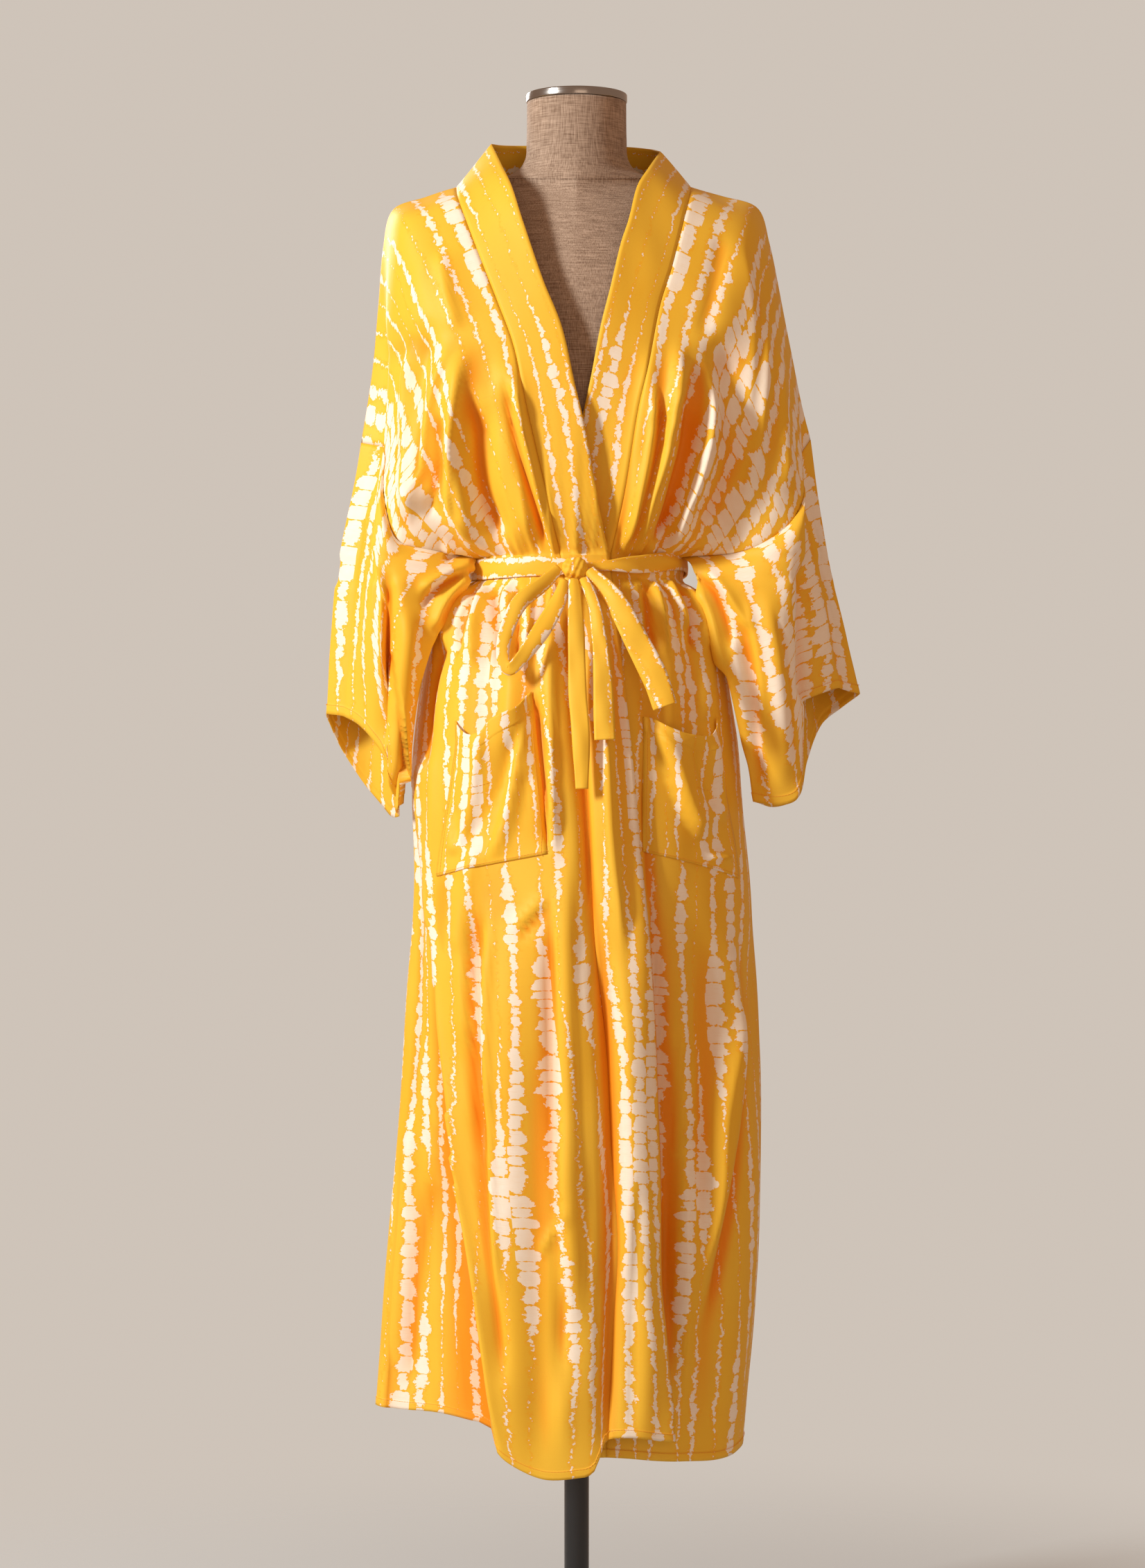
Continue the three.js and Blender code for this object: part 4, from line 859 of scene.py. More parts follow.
def near_line(points, x, z):
    """Distance from a line of (x, z) points, its side, and the share along it."""
    best = np.full(x.shape, np.inf)
    side, share = np.ones(x.shape), np.zeros(x.shape)
    last = len(points) - 1
    for i in range(last):
        (ax, az), (dx, dz) = points[i], points[i + 1] - points[i]
        t = np.clip(((x - ax) * dx + (z - az) * dz) / (dx * dx + dz * dz), 0, 1)
        gap = np.hypot(x - ax - dx * t, z - az - dz * t)
        closer = gap < best
        best = np.where(closer, gap, best)
        turned_side = np.where((x - ax) * -dz + (z - az) * dx < 0, -1, 1)
        side = np.where(closer, turned_side, side)
        share = np.where(closer, (i + t) / last, share)
    return best, side, share


def folds_at(folds, x, z, crest=0):
    """How far the folds of a list stand out at points. A crest above 0 pinches them to a softly pointed
    ridge."""
    out = np.zeros(x.shape)
    for height, reach_right, reach_left, points in folds:
        course = line(points)(np.linspace(0, 1, 4 * len(points)))
        gap, side, share = near_line(course, x, z)
        reach = np.where(side > 0, reach_left, reach_right)
        ends = smooth(share / FOLD_FADE_IN) * smooth((1 - share) / FOLD_FADE_OUT)
        if crest:
            shape = np.exp(crest - np.sqrt((gap / reach) ** 2 * 2 + crest ** 2))
        else:
            shape = np.exp(-(gap / reach) ** 2)
        out += height * ends * shape
    return out


def steps_at(x, z):
    out = np.zeros(x.shape)
    for way, back_by, width, edge in STEPS:
        gap, side, share = near_line(np.array(edge, float), x, z)
        out -= back_by * smooth(share / STEP_FADE_IN) * smooth(np.where(side * way > 0, gap, 0) / width)
    return out


def gathers_at(x, y, z, seed):
    """Small uneven pleats that start at the belt and die away above and below it."""
    chance = np.random.default_rng(seed)
    around = np.arctan2(x, -y)
    out = np.zeros(x.shape)
    for pleats in (9, 14, 21, 30, 44):
        lean, phase = chance.uniform(-0.3, 0.3), chance.uniform(0, 6)
        reach = chance.uniform(34, 70)
        fade = np.exp(-np.maximum(np.abs(z - WAIST) - 11, 0) / reach)
        wander = (0.9 * np.sin(3 * around + phase) + 0.5 * np.sin(7 * around + 2 * phase)
                  + lean * (z - WAIST) / 100)
        pleat = np.sin(pleats * around + phase + 2 * wander)
        out += (15 / pleats + 0.8) * fade * (1 - 1.9 * np.sqrt(pleat ** 2 * 0.5 + 0.01))
    under_belt = 0.15 + 0.85 * smooth((np.abs(z - WAIST) - 9) / 10)
    return out * under_belt


def ripples_at(x, y, z):
    """The faint uneven ripples of light cloth that hangs free."""
    chance = np.random.default_rng(8)
    around = x + 0.8 * y
    out = np.zeros(x.shape)
    for _ in range(14):
        across, down = chance.uniform(0.03, 0.16), chance.uniform(-0.035, 0.035)
        bend = chance.uniform(0, 6) + 1.3 * np.sin(z * chance.uniform(0.008, 0.02) + chance.uniform(0, 6))
        out += 0.02 / across * np.sin(around * across + z * down + bend)
    return np.clip(out, -1.4, 1.4) * 0.7


FRONT_ENDS, BACK_STARTS, FADE, CREASES_DEEPER = 6, 22, 30, 2.2


def body_relief(points):
    x, y, z = np.moveaxis(points, -1, 0)
    front = smooth((FRONT_ENDS - y) / FADE)
    behind = smooth((y - BACK_STARTS) / FADE)
    on_front = (folds_at(FRONT_FOLDS, x, z) + CREASES_DEEPER * folds_at(FRONT_CREASES, x, z, 0.5)
                + steps_at(x, z))
    on_back = folds_at(BACK_FOLDS, x, z) + folds_at(BACK_CREASES, x, z, 0.5)
    out = np.where(y < FRONT_ENDS, front * on_front, behind * on_back)
    return out + gathers_at(x, y, z, 4) + ripples_at(x, y, z)


def sleeve_relief(points):
    x, y, z = np.moveaxis(points, -1, 0)
    front = smooth((FRONT_ENDS - y) / FADE)
    behind = smooth((y - BACK_STARTS) / FADE)
    own = front * (folds_at(SLEEVE_FOLDS, x, z) + folds_at(SLEEVE_CREASES, x, z, 0.5))
    return body_relief(points) + own + behind * folds_at(SLEEVE_CREASES, x, z, 0.5)


def valley_of(out, reach):
    """How deep each point lies below its neighbours along its row, from 0 to 1. It sets how much painted
    shade the cloth's colour takes in the valleys of its folds.
    """
    padded = np.pad(out, ((0, 0), (reach, reach)), mode="edge")
    sums = np.concatenate([np.zeros((len(out), 1)), np.cumsum(padded, 1)], 1)
    mean = (sums[:, 2 * reach + 1:] - sums[:, :-2 * reach - 1]) / (2 * reach + 1)
    return np.clip((mean - out - 0.5) / 5, 0, 1)


body_panels = [back, front_right, front_left, band_right, band_left]
sleeves = [sleeve_right, sleeve_left]
join_directions(body_panels + sleeves)
for one in body_panels + sleeves:
    one.before = one.points.copy()
    relief = (sleeve_relief if one in sleeves else body_relief)(one.points)
    # How deep each point lies in its folds, which sets the painted shade of the cloth's colour in the
    # valleys.
    one.valley = valley_of(relief, 7)
    one.points = one.points + one.normals * relief[..., None]
join_directions(body_panels + sleeves)


# Where each point lies on the flat cloth, in metres: across the grain, then along it. The printed rows
# follow it.
def lay_flat(panel, start, flat_width, hold=0.6):
    """start is the column from which the width is measured; gathered rows are eased out towards the flat
    width."""
    across = np.linalg.norm(np.diff(panel.before, axis=1), axis=-1)
    along = np.linalg.norm(np.diff(panel.before, axis=0), axis=-1)
    across = np.concatenate([np.zeros((len(across), 1)), np.cumsum(across, 1)], 1)
    along = np.concatenate([np.zeros((1, along.shape[1])), np.cumsum(along, 0)], 0)
    width = across[:, -1:]
    u = (across - across[:, start:start + 1]) * (flat_width / width) ** hold
    v = -along.mean(1, keepdims=True) + 0 * u
    panel.spread = np.stack([u, v], -1) * MM


lay_flat(back, back.points.shape[1] // 2, 620)
lay_flat(front_right, 0, 250)
lay_flat(front_left, 0, 250)
lay_flat(band_right, 0, 62, 1)
lay_flat(band_left, 0, 62, 1)
lay_flat(sleeve_right, 0, 340, 1)
lay_flat(sleeve_left, 0, 340, 1)


# The robe's cloth: a light satin-faced cotton, golden yellow, tied and dyed in long rows of cream beads.
def vector_of(tree, *values):
    """A vector made of up to three values."""
    node = tree.nodes.new("ShaderNodeCombineXYZ")
    for socket, value in zip(node.inputs, values):
        feed(tree, socket, value)
    return node.outputs["Vector"]


def parts_of(tree, vector):
    """The three values of a vector, by their letters."""
    node = tree.nodes.new("ShaderNodeSeparateXYZ")
    tree.links.new(vector, node.inputs["Vector"])
    return node.outputs


def noise_at(tree, x, y, z=0.0, scale=1.0, detail=1.0):
    """Noise at a place made of three values, spread over about 0 to 1."""
    node = tree.nodes.new("ShaderNodeTexNoise")
    node.inputs["Scale"].default_value = scale
    node.inputs["Detail"].default_value = detail
    tree.links.new(vector_of(tree, x, y, z), node.inputs["Vector"])
    return calc(tree, "MULTIPLY_ADD", calc(tree, "SUBTRACT", node.outputs["Fac"], 0.5), 1.7, 0.5)


def chance_at(tree, x, y=0.0):
    """Three random values that stay the same over one row or one bead."""
    node = tree.nodes.new("ShaderNodeTexWhiteNoise")
    node.noise_dimensions = "2D"
    tree.links.new(vector_of(tree, x, y), node.inputs["Vector"])
    return parts_of(tree, node.outputs["Color"])


def new_group(name, inputs, outputs):
    group = bpy.data.node_groups.new(name, "ShaderNodeTree")
    for label, kind, value in inputs:
        socket = group.interface.new_socket(label, in_out="INPUT", socket_type=kind)
        if value is not None:
            socket.default_value = value
    for label, kind in outputs:
        group.interface.new_socket(label, in_out="OUTPUT", socket_type=kind)
    return group, group.nodes.new("NodeGroupInput").outputs, group.nodes.new("NodeGroupOutput").inputs


# The cloth was gathered on rows of running stitches before the bath, so the dye left rows of cream beads.
# Each is a blunt tooth with a ragged outline, and thin arcs of yellow part them. Where the cloth was drawn up
# hard the rows run together.
ROW_PITCH, BEAD_LENGTH = 0.0235, 0.0165
group, given, result = new_group(
    "rows of resist-dyed beads",
    [("Spread", "NodeSocketVector", None), ("Heavy", "NodeSocketFloat", 0.0),
     ("Row Pitch", "NodeSocketFloat", ROW_PITCH), ("Bead Length", "NodeSocketFloat", BEAD_LENGTH)],
    [("Cream", "NodeSocketFloat"), ("Pooled Dye", "NodeSocketFloat")])
u, v = parts_of(group, given["Spread"])[:2]
wander = noise_at(group, calc(group, "MULTIPLY", u, 9.0), calc(group, "MULTIPLY", v, 3.2))
u_drawn = calc(group, "MULTIPLY_ADD", calc(group, "SUBTRACT", wander, 0.5), 0.022, u)
rows_over = calc(group, "DIVIDE", u_drawn, given["Row Pitch"])
row = calc(group, "FLOOR", rows_over)
row_chance = chance_at(group, row, 3.7)
aside = calc(group, "MULTIPLY_ADD", calc(group, "SUBTRACT", row_chance["X"], 0.5), 0.34,
             calc(group, "SUBTRACT", calc(group, "FRACT", rows_over), 0.5))
from_row = calc(group, "MULTIPLY", aside, given["Row Pitch"])
sway = noise_at(group, calc(group, "MULTIPLY", row, 5.3), calc(group, "MULTIPLY", v, 60.0))
off_centre = calc(group, "MULTIPLY_ADD", calc(group, "SUBTRACT", sway, 0.5), 0.006, from_row)
uneven = noise_at(group, calc(group, "MULTIPLY", row, 13.7), calc(group, "MULTIPLY", v, 17.0))
row_start = calc(group, "MULTIPLY", row_chance["Y"], 0.37)
v_drawn = calc(group, "ADD", v, calc(group, "MULTIPLY_ADD", uneven, 0.03, row_start))
arched = calc(group, "MULTIPLY_ADD", calc(group, "MULTIPLY", off_centre, off_centre), 16.0, v_drawn)
row_longer = calc(group, "MULTIPLY_ADD", row_chance["Z"], 0.45, 0.8)
bead_length = calc(group, "MULTIPLY", given["Bead Length"], row_longer)
beads_over = calc(group, "DIVIDE", arched, bead_length)
bead = calc(group, "FLOOR", beads_over)
bead_chance = chance_at(group, row, bead)
share = calc(group, "FRACT", beads_over)
along_row = noise_at(group, calc(group, "MULTIPLY", row, 7.13), calc(group, "MULTIPLY", v, 4.2))
envelope = ramp(group, along_row, 0.27, 0.95)
full = calc(group, "MINIMUM", calc(group, "ADD", envelope, given["Heavy"]), 1.15)
taper = calc(group, "MULTIPLY_ADD", full, -0.5, 0.85)
tooth = calc(group, "SUBTRACT", 1.0, calc(group, "MULTIPLY", calc(group, "POWER", share, 2.6), taper))
foot = ramp(group, share, 0.0, 0.4, 0.5, 1.0)
half_width = calc(group, "MULTIPLY", calc(group, "MULTIPLY", tooth, foot),
                  calc(group, "MULTIPLY", calc(group, "MULTIPLY_ADD", bead_chance["X"], 0.8, 0.55),
                       calc(group, "MULTIPLY_ADD", full, 0.0128, -0.0017)))
coarse = noise_at(group, u, v, 0.0, 300.0, 2.0)
fine = noise_at(group, u, v, 4.0, 1100.0, 2.0)
ragged = calc(group, "ADD", calc(group, "MULTIPLY", calc(group, "SUBTRACT", coarse, 0.5), 0.0058),
              calc(group, "MULTIPLY", calc(group, "SUBTRACT", fine, 0.5), 0.0016))
inside = calc(group, "SUBTRACT", calc(group, "ADD", half_width, ragged), calc(group, "ABSOLUTE", off_centre))
outline = ramp(group, inside, -0.0002, 0.0004)
to_joint = calc(group, "MINIMUM", share, calc(group, "SUBTRACT", 1.0, share))
from_joint = calc(group, "MULTIPLY", to_joint, bead_length)
joint = ramp(group, calc(group, "MULTIPLY_ADD", calc(group, "SUBTRACT", coarse, 0.5), 0.0022, from_joint),
             0.0003, 0.0009)
cream = calc(group, "MULTIPLY", outline, joint)
group.links.new(cream, result["Cream"])
pooled = calc(group, "MULTIPLY", ramp(group, inside, -0.0035, 0.0), calc(group, "SUBTRACT", 1.0, cream))
group.links.new(pooled, result["Pooled Dye"])
dye_rows = group

# Fine satin weave: warp floats a fraction of a millimetre wide, with slightly thicker threads here and there.
group, given, result = new_group("satin weave", [("Spread", "NodeSocketVector", None)],
                                 [("Height", "NodeSocketFloat"), ("Slub", "NodeSocketFloat")])
u, v = parts_of(group, given["Spread"])[:2]
warp = noise_at(group, calc(group, "MULTIPLY", u, 3600.0), calc(group, "MULTIPLY", v, 420.0))
weft = noise_at(group, calc(group, "MULTIPLY", u, 300.0), calc(group, "MULTIPLY", v, 2600.0), 7.0)
group.links.new(calc(group, "ADD", calc(group, "MULTIPLY", warp, 0.65), calc(group, "MULTIPLY", weft, 0.35)),
                result["Height"])
group.links.new(noise_at(group, calc(group, "MULTIPLY", u, 60.0), calc(group, "MULTIPLY", v, 1200.0), 2.0),
                result["Slub"])
satin_weave = group

robe_cloth, tree, shader = new_material("tie-dyed yellow satin", (0.9, 0.4, 0.02), 0.5)
shader.inputs["Specular IOR Level"].default_value = 0.2
shader.inputs["Sheen Weight"].default_value = 0.06
shader.inputs["Sheen Roughness"].default_value = 0.35
shader.inputs["Sheen Tint"].default_value = (1, 0.86, 0.55, 1)
spread_map = tree.nodes.new("ShaderNodeUVMap")
spread_map.uv_map = "spread"
heavy = tree.nodes.new("ShaderNodeAttribute")
heavy.attribute_name = "heavy dye resist"
print_rows = tree.nodes.new("ShaderNodeGroup")
print_rows.node_tree = dye_rows
weave = tree.nodes.new("ShaderNodeGroup")
weave.node_tree = satin_weave
tree.links.new(spread_map.outputs["UV"], print_rows.inputs["Spread"])
tree.links.new(heavy.outputs["Fac"], print_rows.inputs["Heavy"])
tree.links.new(spread_map.outputs["UV"], weave.inputs["Spread"])
u, v = parts_of(tree, spread_map.outputs["UV"])[:2]
bath = noise_at(tree, calc(tree, "MULTIPLY", u, 14.0), calc(tree, "MULTIPLY", v, 5.0), 3.0, 1.0, 3.0)
yellow = mixed(tree, bath, (0.88, 0.48, 0.026, 1), (0.91, 0.57, 0.055, 1))
pooled = calc(tree, "MULTIPLY", print_rows.outputs["Pooled Dye"], 0.5)
yellow = mixed(tree, pooled, yellow, (0.93, 0.4, 0.01, 1))
mottle = noise_at(tree, u, v, 9.0, 90.0, 3.0)
bare = mixed(tree, mottle, (0.93, 0.82, 0.66, 1), (0.96, 0.88, 0.76, 1))
# Painted shade: in the valleys of the folds the yellow turns deep orange and the cream turns pinkish, by how
# deep each point lies.
valley = tree.nodes.new("ShaderNodeAttribute")
valley.attribute_name = "painted shade in valleys"
painted_valley_shade = calc(tree, "MULTIPLY", valley.outputs["Fac"], 0.85)
yellow = mixed(tree, painted_valley_shade, yellow, (0.88, 0.25, 0.005, 1))
bare = mixed(tree, painted_valley_shade, bare, (0.88, 0.58, 0.37, 1))
cloth_color = mixed(tree, print_rows.outputs["Cream"], yellow, bare)
slub = ramp(tree, weave.outputs["Slub"], 0.62, 0.95, 0.0, 0.16)
cloth_color = mixed(tree, slub, cloth_color, (0.82, 0.4, 0.05, 1))
tree.links.new(cloth_color, shader.inputs["Base Color"])
tree.links.new(ramp(tree, weave.outputs["Height"], 0.2, 0.8, 0.58, 0.46), shader.inputs["Roughness"])
bump(tree, shader, weave.outputs["Height"], 0.25, 0.0002)

CLOTH, HEM_RAISED, SEAM_DIP = 0.8, 0.5, 4
HEAVY = [
    # x, z, reach across, reach up and down, how heavy the cream is there; the front's first, then the back's
    (-1, [(172, 1320, 52, 130, 0.85), (140, 1215, 50, 40, 0.6), (-178, 1270, 34, 90, 0.85),
          (-140, 1195, 40, 34, 0.7), (60, 560, 24, 190, 0.75), (152, 720, 16, 130, 0.6),
          (-162, 800, 14, 130, 0.35), (-52, 560, 20, 120, 0.3), (110, 330, 60, 80, 0.35),
          (-70, 1100, 70, 45, 0.5), (30, 1340, 16, 90, 0.5), (-20, 1230, 20, 60, 0.3),
          (-8, 1330, 14, 60, 0.3), (245, 1080, 60, 130, 0.6), (-235, 1120, 30, 100, 0.3),
          (-96, 950, 12, 60, 0.6), (190, 1020, 40, 90, 0.4), (-125, 980, 16, 90, 0.4)]),
    (1, [(-60, 560, 30, 220, 0.6), (80, 640, 24, 200, 0.6), (-150, 1300, 60, 110, 0.6),
         (150, 1320, 60, 120, 0.6), (0, 1360, 60, 90, 0.3)]),
]


def heavy_at(points):
    x, y, z = points.T
    total = np.zeros(len(points))
    for way, blobs in HEAVY:
        on_side = smooth((y * way + 20) / 40)
        for at_x, at_z, reach_x, reach_z, amount in blobs:
            total += on_side * amount * np.exp(-((x - at_x) / reach_x) ** 2 - ((z - at_z) / reach_z) ** 2)
    return np.clip(total, 0, 1)


def unit(vectors):
    return vectors / np.maximum(np.linalg.norm(vectors, axis=-1, keepdims=True), 1e-9)


def shell(name, panel, nodes, thickness=CLOTH, trim=0.06, hem=0, edge_dip=0.0):
    """A thin shell of cloth from a panel, with a turned hem along its last rows and its edges dipped into
    seams."""
    points, normals = panel.points.copy(), panel.normals
    rows, columns = points.shape[:2]
    points[0] += unit(points[1] - points[0]) * trim
    points[-1] += unit(points[-2] - points[-1]) * trim
    if not panel.closed:
        points[:, 0] += unit(points[:, 1] - points[:, 0]) * trim
        points[:, -1] += unit(points[:, -2] - points[:, -1]) * trim
        across = np.linalg.norm(np.diff(points, axis=1), axis=-1)
        across = np.concatenate([np.zeros((rows, 1)), np.cumsum(across, 1)], 1)
        near_edge = np.minimum(across, across[:, -1:] - across)
        points -= normals * (edge_dip * np.clip(1 - near_edge / SEAM_DIP, 0, 1) ** 2)[..., None]
    if hem:
        points[-hem:] += normals[-hem:] * HEM_RAISED
    inner = points - normals * thickness
    index = np.arange(rows * columns).reshape(rows, columns)
    after = np.roll(index, -1, 1) if panel.closed else index[:, 1:]
    here = index if panel.closed else index[:, :-1]
    outer_faces = np.stack([here[:-1], here[1:], after[1:], after[:-1]], -1).reshape(-1, 4)
    count = rows * columns
    inner_faces = outer_faces[:, ::-1] + count
    rims = [np.stack([here[0], after[0], after[0] + count, here[0] + count], -1),
            np.stack([here[-1], here[-1] + count, after[-1] + count, after[-1]], -1)]
    if not panel.closed:
        first, last = index[:, 0], index[:, -1]
        rims.append(np.stack([first[:-1], first[:-1] + count, first[1:] + count, first[1:]], -1))
        rims.append(np.stack([last[:-1], last[1:], last[1:] + count, last[:-1] + count], -1))
    faces = np.concatenate([outer_faces, inner_faces] + rims)
    if panel.turn < 0:
        faces = faces[:, ::-1]
    spread = np.concatenate([panel.spread.reshape(-1, 2)] * 2)
    everything = np.concatenate([points.reshape(-1, 3), inner.reshape(-1, 3)])
    heavy = heavy_at(panel.before.reshape(-1, 3))
    # The heavy dye resist is print; the second value is the painted shade in the valleys of the folds.
    values = (("heavy dye resist", np.concatenate([heavy, heavy])),
              ("painted shade in valleys", np.concatenate([panel.valley.ravel(), panel.valley.ravel()])))
    return mesh_piece(name, everything, faces.tolist(), robe_cloth, nodes, spread, 2 * len(outer_faces),
                      values)


HEM_ROWS = 4
for one, nodes, dip in ((back, ["back_bodice", "back_skirt"], 0.5),
                        (front_right, ["front_right_bodice", "front_right_skirt"], 0.7),
                        (front_left, ["front_left_bodice", "front_left_skirt"], 0.7),
                        (band_right, ["band_right"], 0.3), (band_left, ["band_left"], 0.3)):
    shell(one.name.replace(" ", "_") + "_cloth", one, nodes, hem=HEM_ROWS, edge_dip=dip)
for one, node in ((sleeve_right, "sleeve_right"), (sleeve_left, "sleeve_left")):
    shell(one.name.replace(" ", "_") + "_tube", one, [node], hem=HEM_ROWS)


# Pockets: two patches of the same cloth with a deep turned top hem, sewn on round three sides. Each sags open
# at its mouth and is creased by its own weight.
POCKETS = {
    # front panel, its side, inner and outer height of the mouth, its sag, inner and outer height of the foot,
    # how far the mouth stands out
    "pocket_right": (front_right, -1, 1036, 1007, 26, 873, 849, 17),
    "pocket_left": (front_left, 1, 1011, 1011, 22, 875, 846, 16),
}
POCKET_HEM_ROWS, POCKET_HEM_RAISED, SEWN_ON = 9, 0.5, 1.1
# How far along the printed cloth the pockets' cuts are moved, in metres.
POCKET_CUT_AT = 0.4
POCKET_CREASES = {
    "pocket_right": [
        # out, reach right, reach left, points
        (-9, 10, 6, [(-60, 1004), (-70, 950), (-86, 905), (-104, 868)]),
        (8, 8, 5, [(-88, 998), (-96, 950), (-108, 900), (-122, 866)]),
        (7, 4, 10, [(-54, 1012), (-62, 950), (-74, 900), (-88, 862)]),
        (-6, 5, 4, [(-124, 925), (-118, 890), (-110, 862)]),
        (4, 5, 4, [(-130, 930), (-127, 895), (-122, 868)]),
        (-5, 8, 5, [(-48, 960), (-52, 910), (-60, 870)]),
    ],
    "pocket_left": [
        # out, reach right, reach left, points
        (13, 5, 16, [(76, 1006), (92, 962), (112, 912), (130, 884)]),
        (-11, 9, 5, [(70, 998), (84, 954), (103, 904), (122, 872)]),
        (8, 8, 8, [(130, 996), (138, 950), (146, 900)]),
        (-9, 6, 6, [(112, 990), (122, 950), (138, 912)]),
        (-6, 4, 4, [(120, 888), (138, 876), (156, 880)]),
        (5, 4, 4, [(132, 872), (146, 866), (158, 870)]),
    ],
}


def pocket_panel(name):
    front, way, top_inner, top_outer, sag, foot_inner, foot_outer, puff = POCKETS[name]
    first, last = LINE_COLUMNS[1:3] * FINE
    columns = np.arange(first, last + 1)
    across = (columns - first) / (last - first)
    down = np.concatenate([np.linspace(0, 0.1, 8), np.linspace(0.108, 0.115, 3), np.linspace(0.13, 1, 50)])
    top = mix(top_inner, top_outer, across) - sag * np.sin(np.pi * across ** 1.35)
    height = mix(top[None], mix(foot_inner, foot_outer, across)[None], down[:, None])
    points, normals = np.empty(height.shape + (3,)), np.empty(height.shape + (3,))
    start = len(BODICE)
    for j, column in enumerate(columns):
        course = front.points[start:, column]
        for k in range(3):
            points[:, j, k] = np.interp(-height[:, j], -course[:, 2], course[:, k])
            normals[:, j, k] = np.interp(-height[:, j], -course[:, 2], front.normals[start:, column, k])
    lift = 1.2 + puff * np.sin(np.pi * across)[None] * (1 - down[:, None]) ** 1.5
    inside = smooth(np.minimum(across, 1 - across)[None] / 0.12) * smooth((1 - down[:, None]) / 0.08)
    relief = folds_at(POCKET_CREASES[name], points[..., 0], points[..., 2], 0.5) * inside
    lift = lift + np.maximum(relief, -0.75 * (lift - SEWN_ON) - 1.5)
    lift = np.maximum(lift, SEWN_ON)
    lift[:POCKET_HEM_ROWS] += POCKET_HEM_RAISED
    pocket = Panel(name, points + unit(normals) * lift[..., None], way)
    pocket.before = pocket.points
    lay_flat(pocket, 0, 170, 1)
    pocket.spread[..., 1] += POCKET_CUT_AT
    return pocket


pockets = {name: pocket_panel(name) for name in POCKETS}
for name, one in pockets.items():
    shell(name + "_patch", one, [name])


# The belt: a long narrow strip of the same cloth, doubled and stitched, once round the waist. It lies flat on
# the wearer's right and twists towards the knot on the left.
BELT = hem_line([
    # angle from the front, half the belt's height there
    [-180, 10.5], [-60, 10.5], [-12, 9.5], [-2, 6], [6, 4], [16, 5.5], [30, 8.5], [50, 10], [75, 8],
    [110, 10.5], [180, 10.5],
])
BELT_RISE = hem_line([[-180, 0], [-90, 0], [-60, -1], [-20, 0], [0, -1], [30, 2], [60, 7], [90, 5], [130, 0],
                       [180, 0]])
# Where the strip was cut on the printed cloth, half its width and half its way round, in metres.
BELT_CUT_AT, STRIP_HALF, ROUND_HALF = 0.3, 0.011, 0.33


def belt_panel():
    around = np.linspace(-180, 180, 361)[:-1][None]
    down = np.linspace(-1, 1, 13)[:, None]
    half = BELT(around)
    point = on_skirt(around + 0 * down, WAIST + 0 * down, UPPER_LAP)
    out = unit(np.stack([point[..., 0], point[..., 1] * 1.2, 0 * point[..., 0]], -1))
    twist = smooth((around - 2) / 14) * smooth((78 - around) / 20)
    roll = twist * (2.2 * np.cos(down * 2.2 - around / 9) + 1.5 * (1 - down ** 2))
    flat_ridge = (1 - twist) * 0.7 * (1 - down ** 2) + 0.3 * np.sin(around / 7 + 2 * down) * (1 - twist)
    point = point + out * (3.0 + roll + flat_ridge)[..., None]
    point[..., 2] = WAIST + BELT_RISE(around) - half * down
    belt = Panel("belt", point, 1, closed=True)
    belt.before = belt.points
    belt.spread = np.stack([BELT_CUT_AT + down * STRIP_HALF + 0 * around,
                            around / 180 * ROUND_HALF + 0 * down], -1)
    return belt


belt = belt_panel()
shell("belt_strip", belt, ["belt_wrap"], thickness=1.6)


# The knot and the bow: the strip is drawn through in a small tight knot, with one long loop and a wide flat
# loop, and two ends that hang down. Their cuts lie side by side on the printed cloth, a row of beads apart.
RIBBONS_CUT_AT = 0.7285


def ribbon_panel(name, course_points, widths, rows, cup, twist, seed):
    course = line(course_points)
    shares = np.linspace(0, 1, len(widths))
    down = np.linspace(0, 1, rows + 1)
    across = np.linspace(-1, 1, 9)
    width = through(shares, np.array(widths, float)[:, None], down)[:, 0]
    turn = np.radians(through(np.linspace(0, 1, len(twist)), np.array(twist, float)[:, None], down)[:, 0])
    centre = course(down)
    along = unit(course(np.minimum(1, down + 0.01)) - course(np.maximum(0, down - 0.01)))
    sideways = unit(np.cross(along, [0, -1, 0]))
    front = np.cross(sideways, along)
    chance = np.random.default_rng(seed)
    wave = cup + 0.6 * np.sin(down * 25 + chance.uniform(0, 6))
    side = sideways * np.cos(turn)[:, None] + front * np.sin(turn)[:, None]
    face = np.cross(side, along)
    bend = wave[:, None] * (1 - across[None] ** 2) + 0.35 * np.sin(3 * across[None] + 9 * down[:, None])
    points = (centre[:, None] + side[:, None] * (across[None] * width[:, None] / 2)[..., None]
              + face[:, None] * bend[..., None])
    ribbon = Panel(name, points, 1)
    ribbon.before = points
    length = np.concatenate([[0], np.cumsum(np.linalg.norm(np.diff(centre, axis=0), axis=1))])
    from_middle = across[None] * STRIP_HALF
    ribbon.spread = np.stack([RIBBONS_CUT_AT + seed * ROW_PITCH + from_middle + 0 * down[:, None],
                              -length[:, None] * MM + 0 * across[None]], -1)
    return ribbon


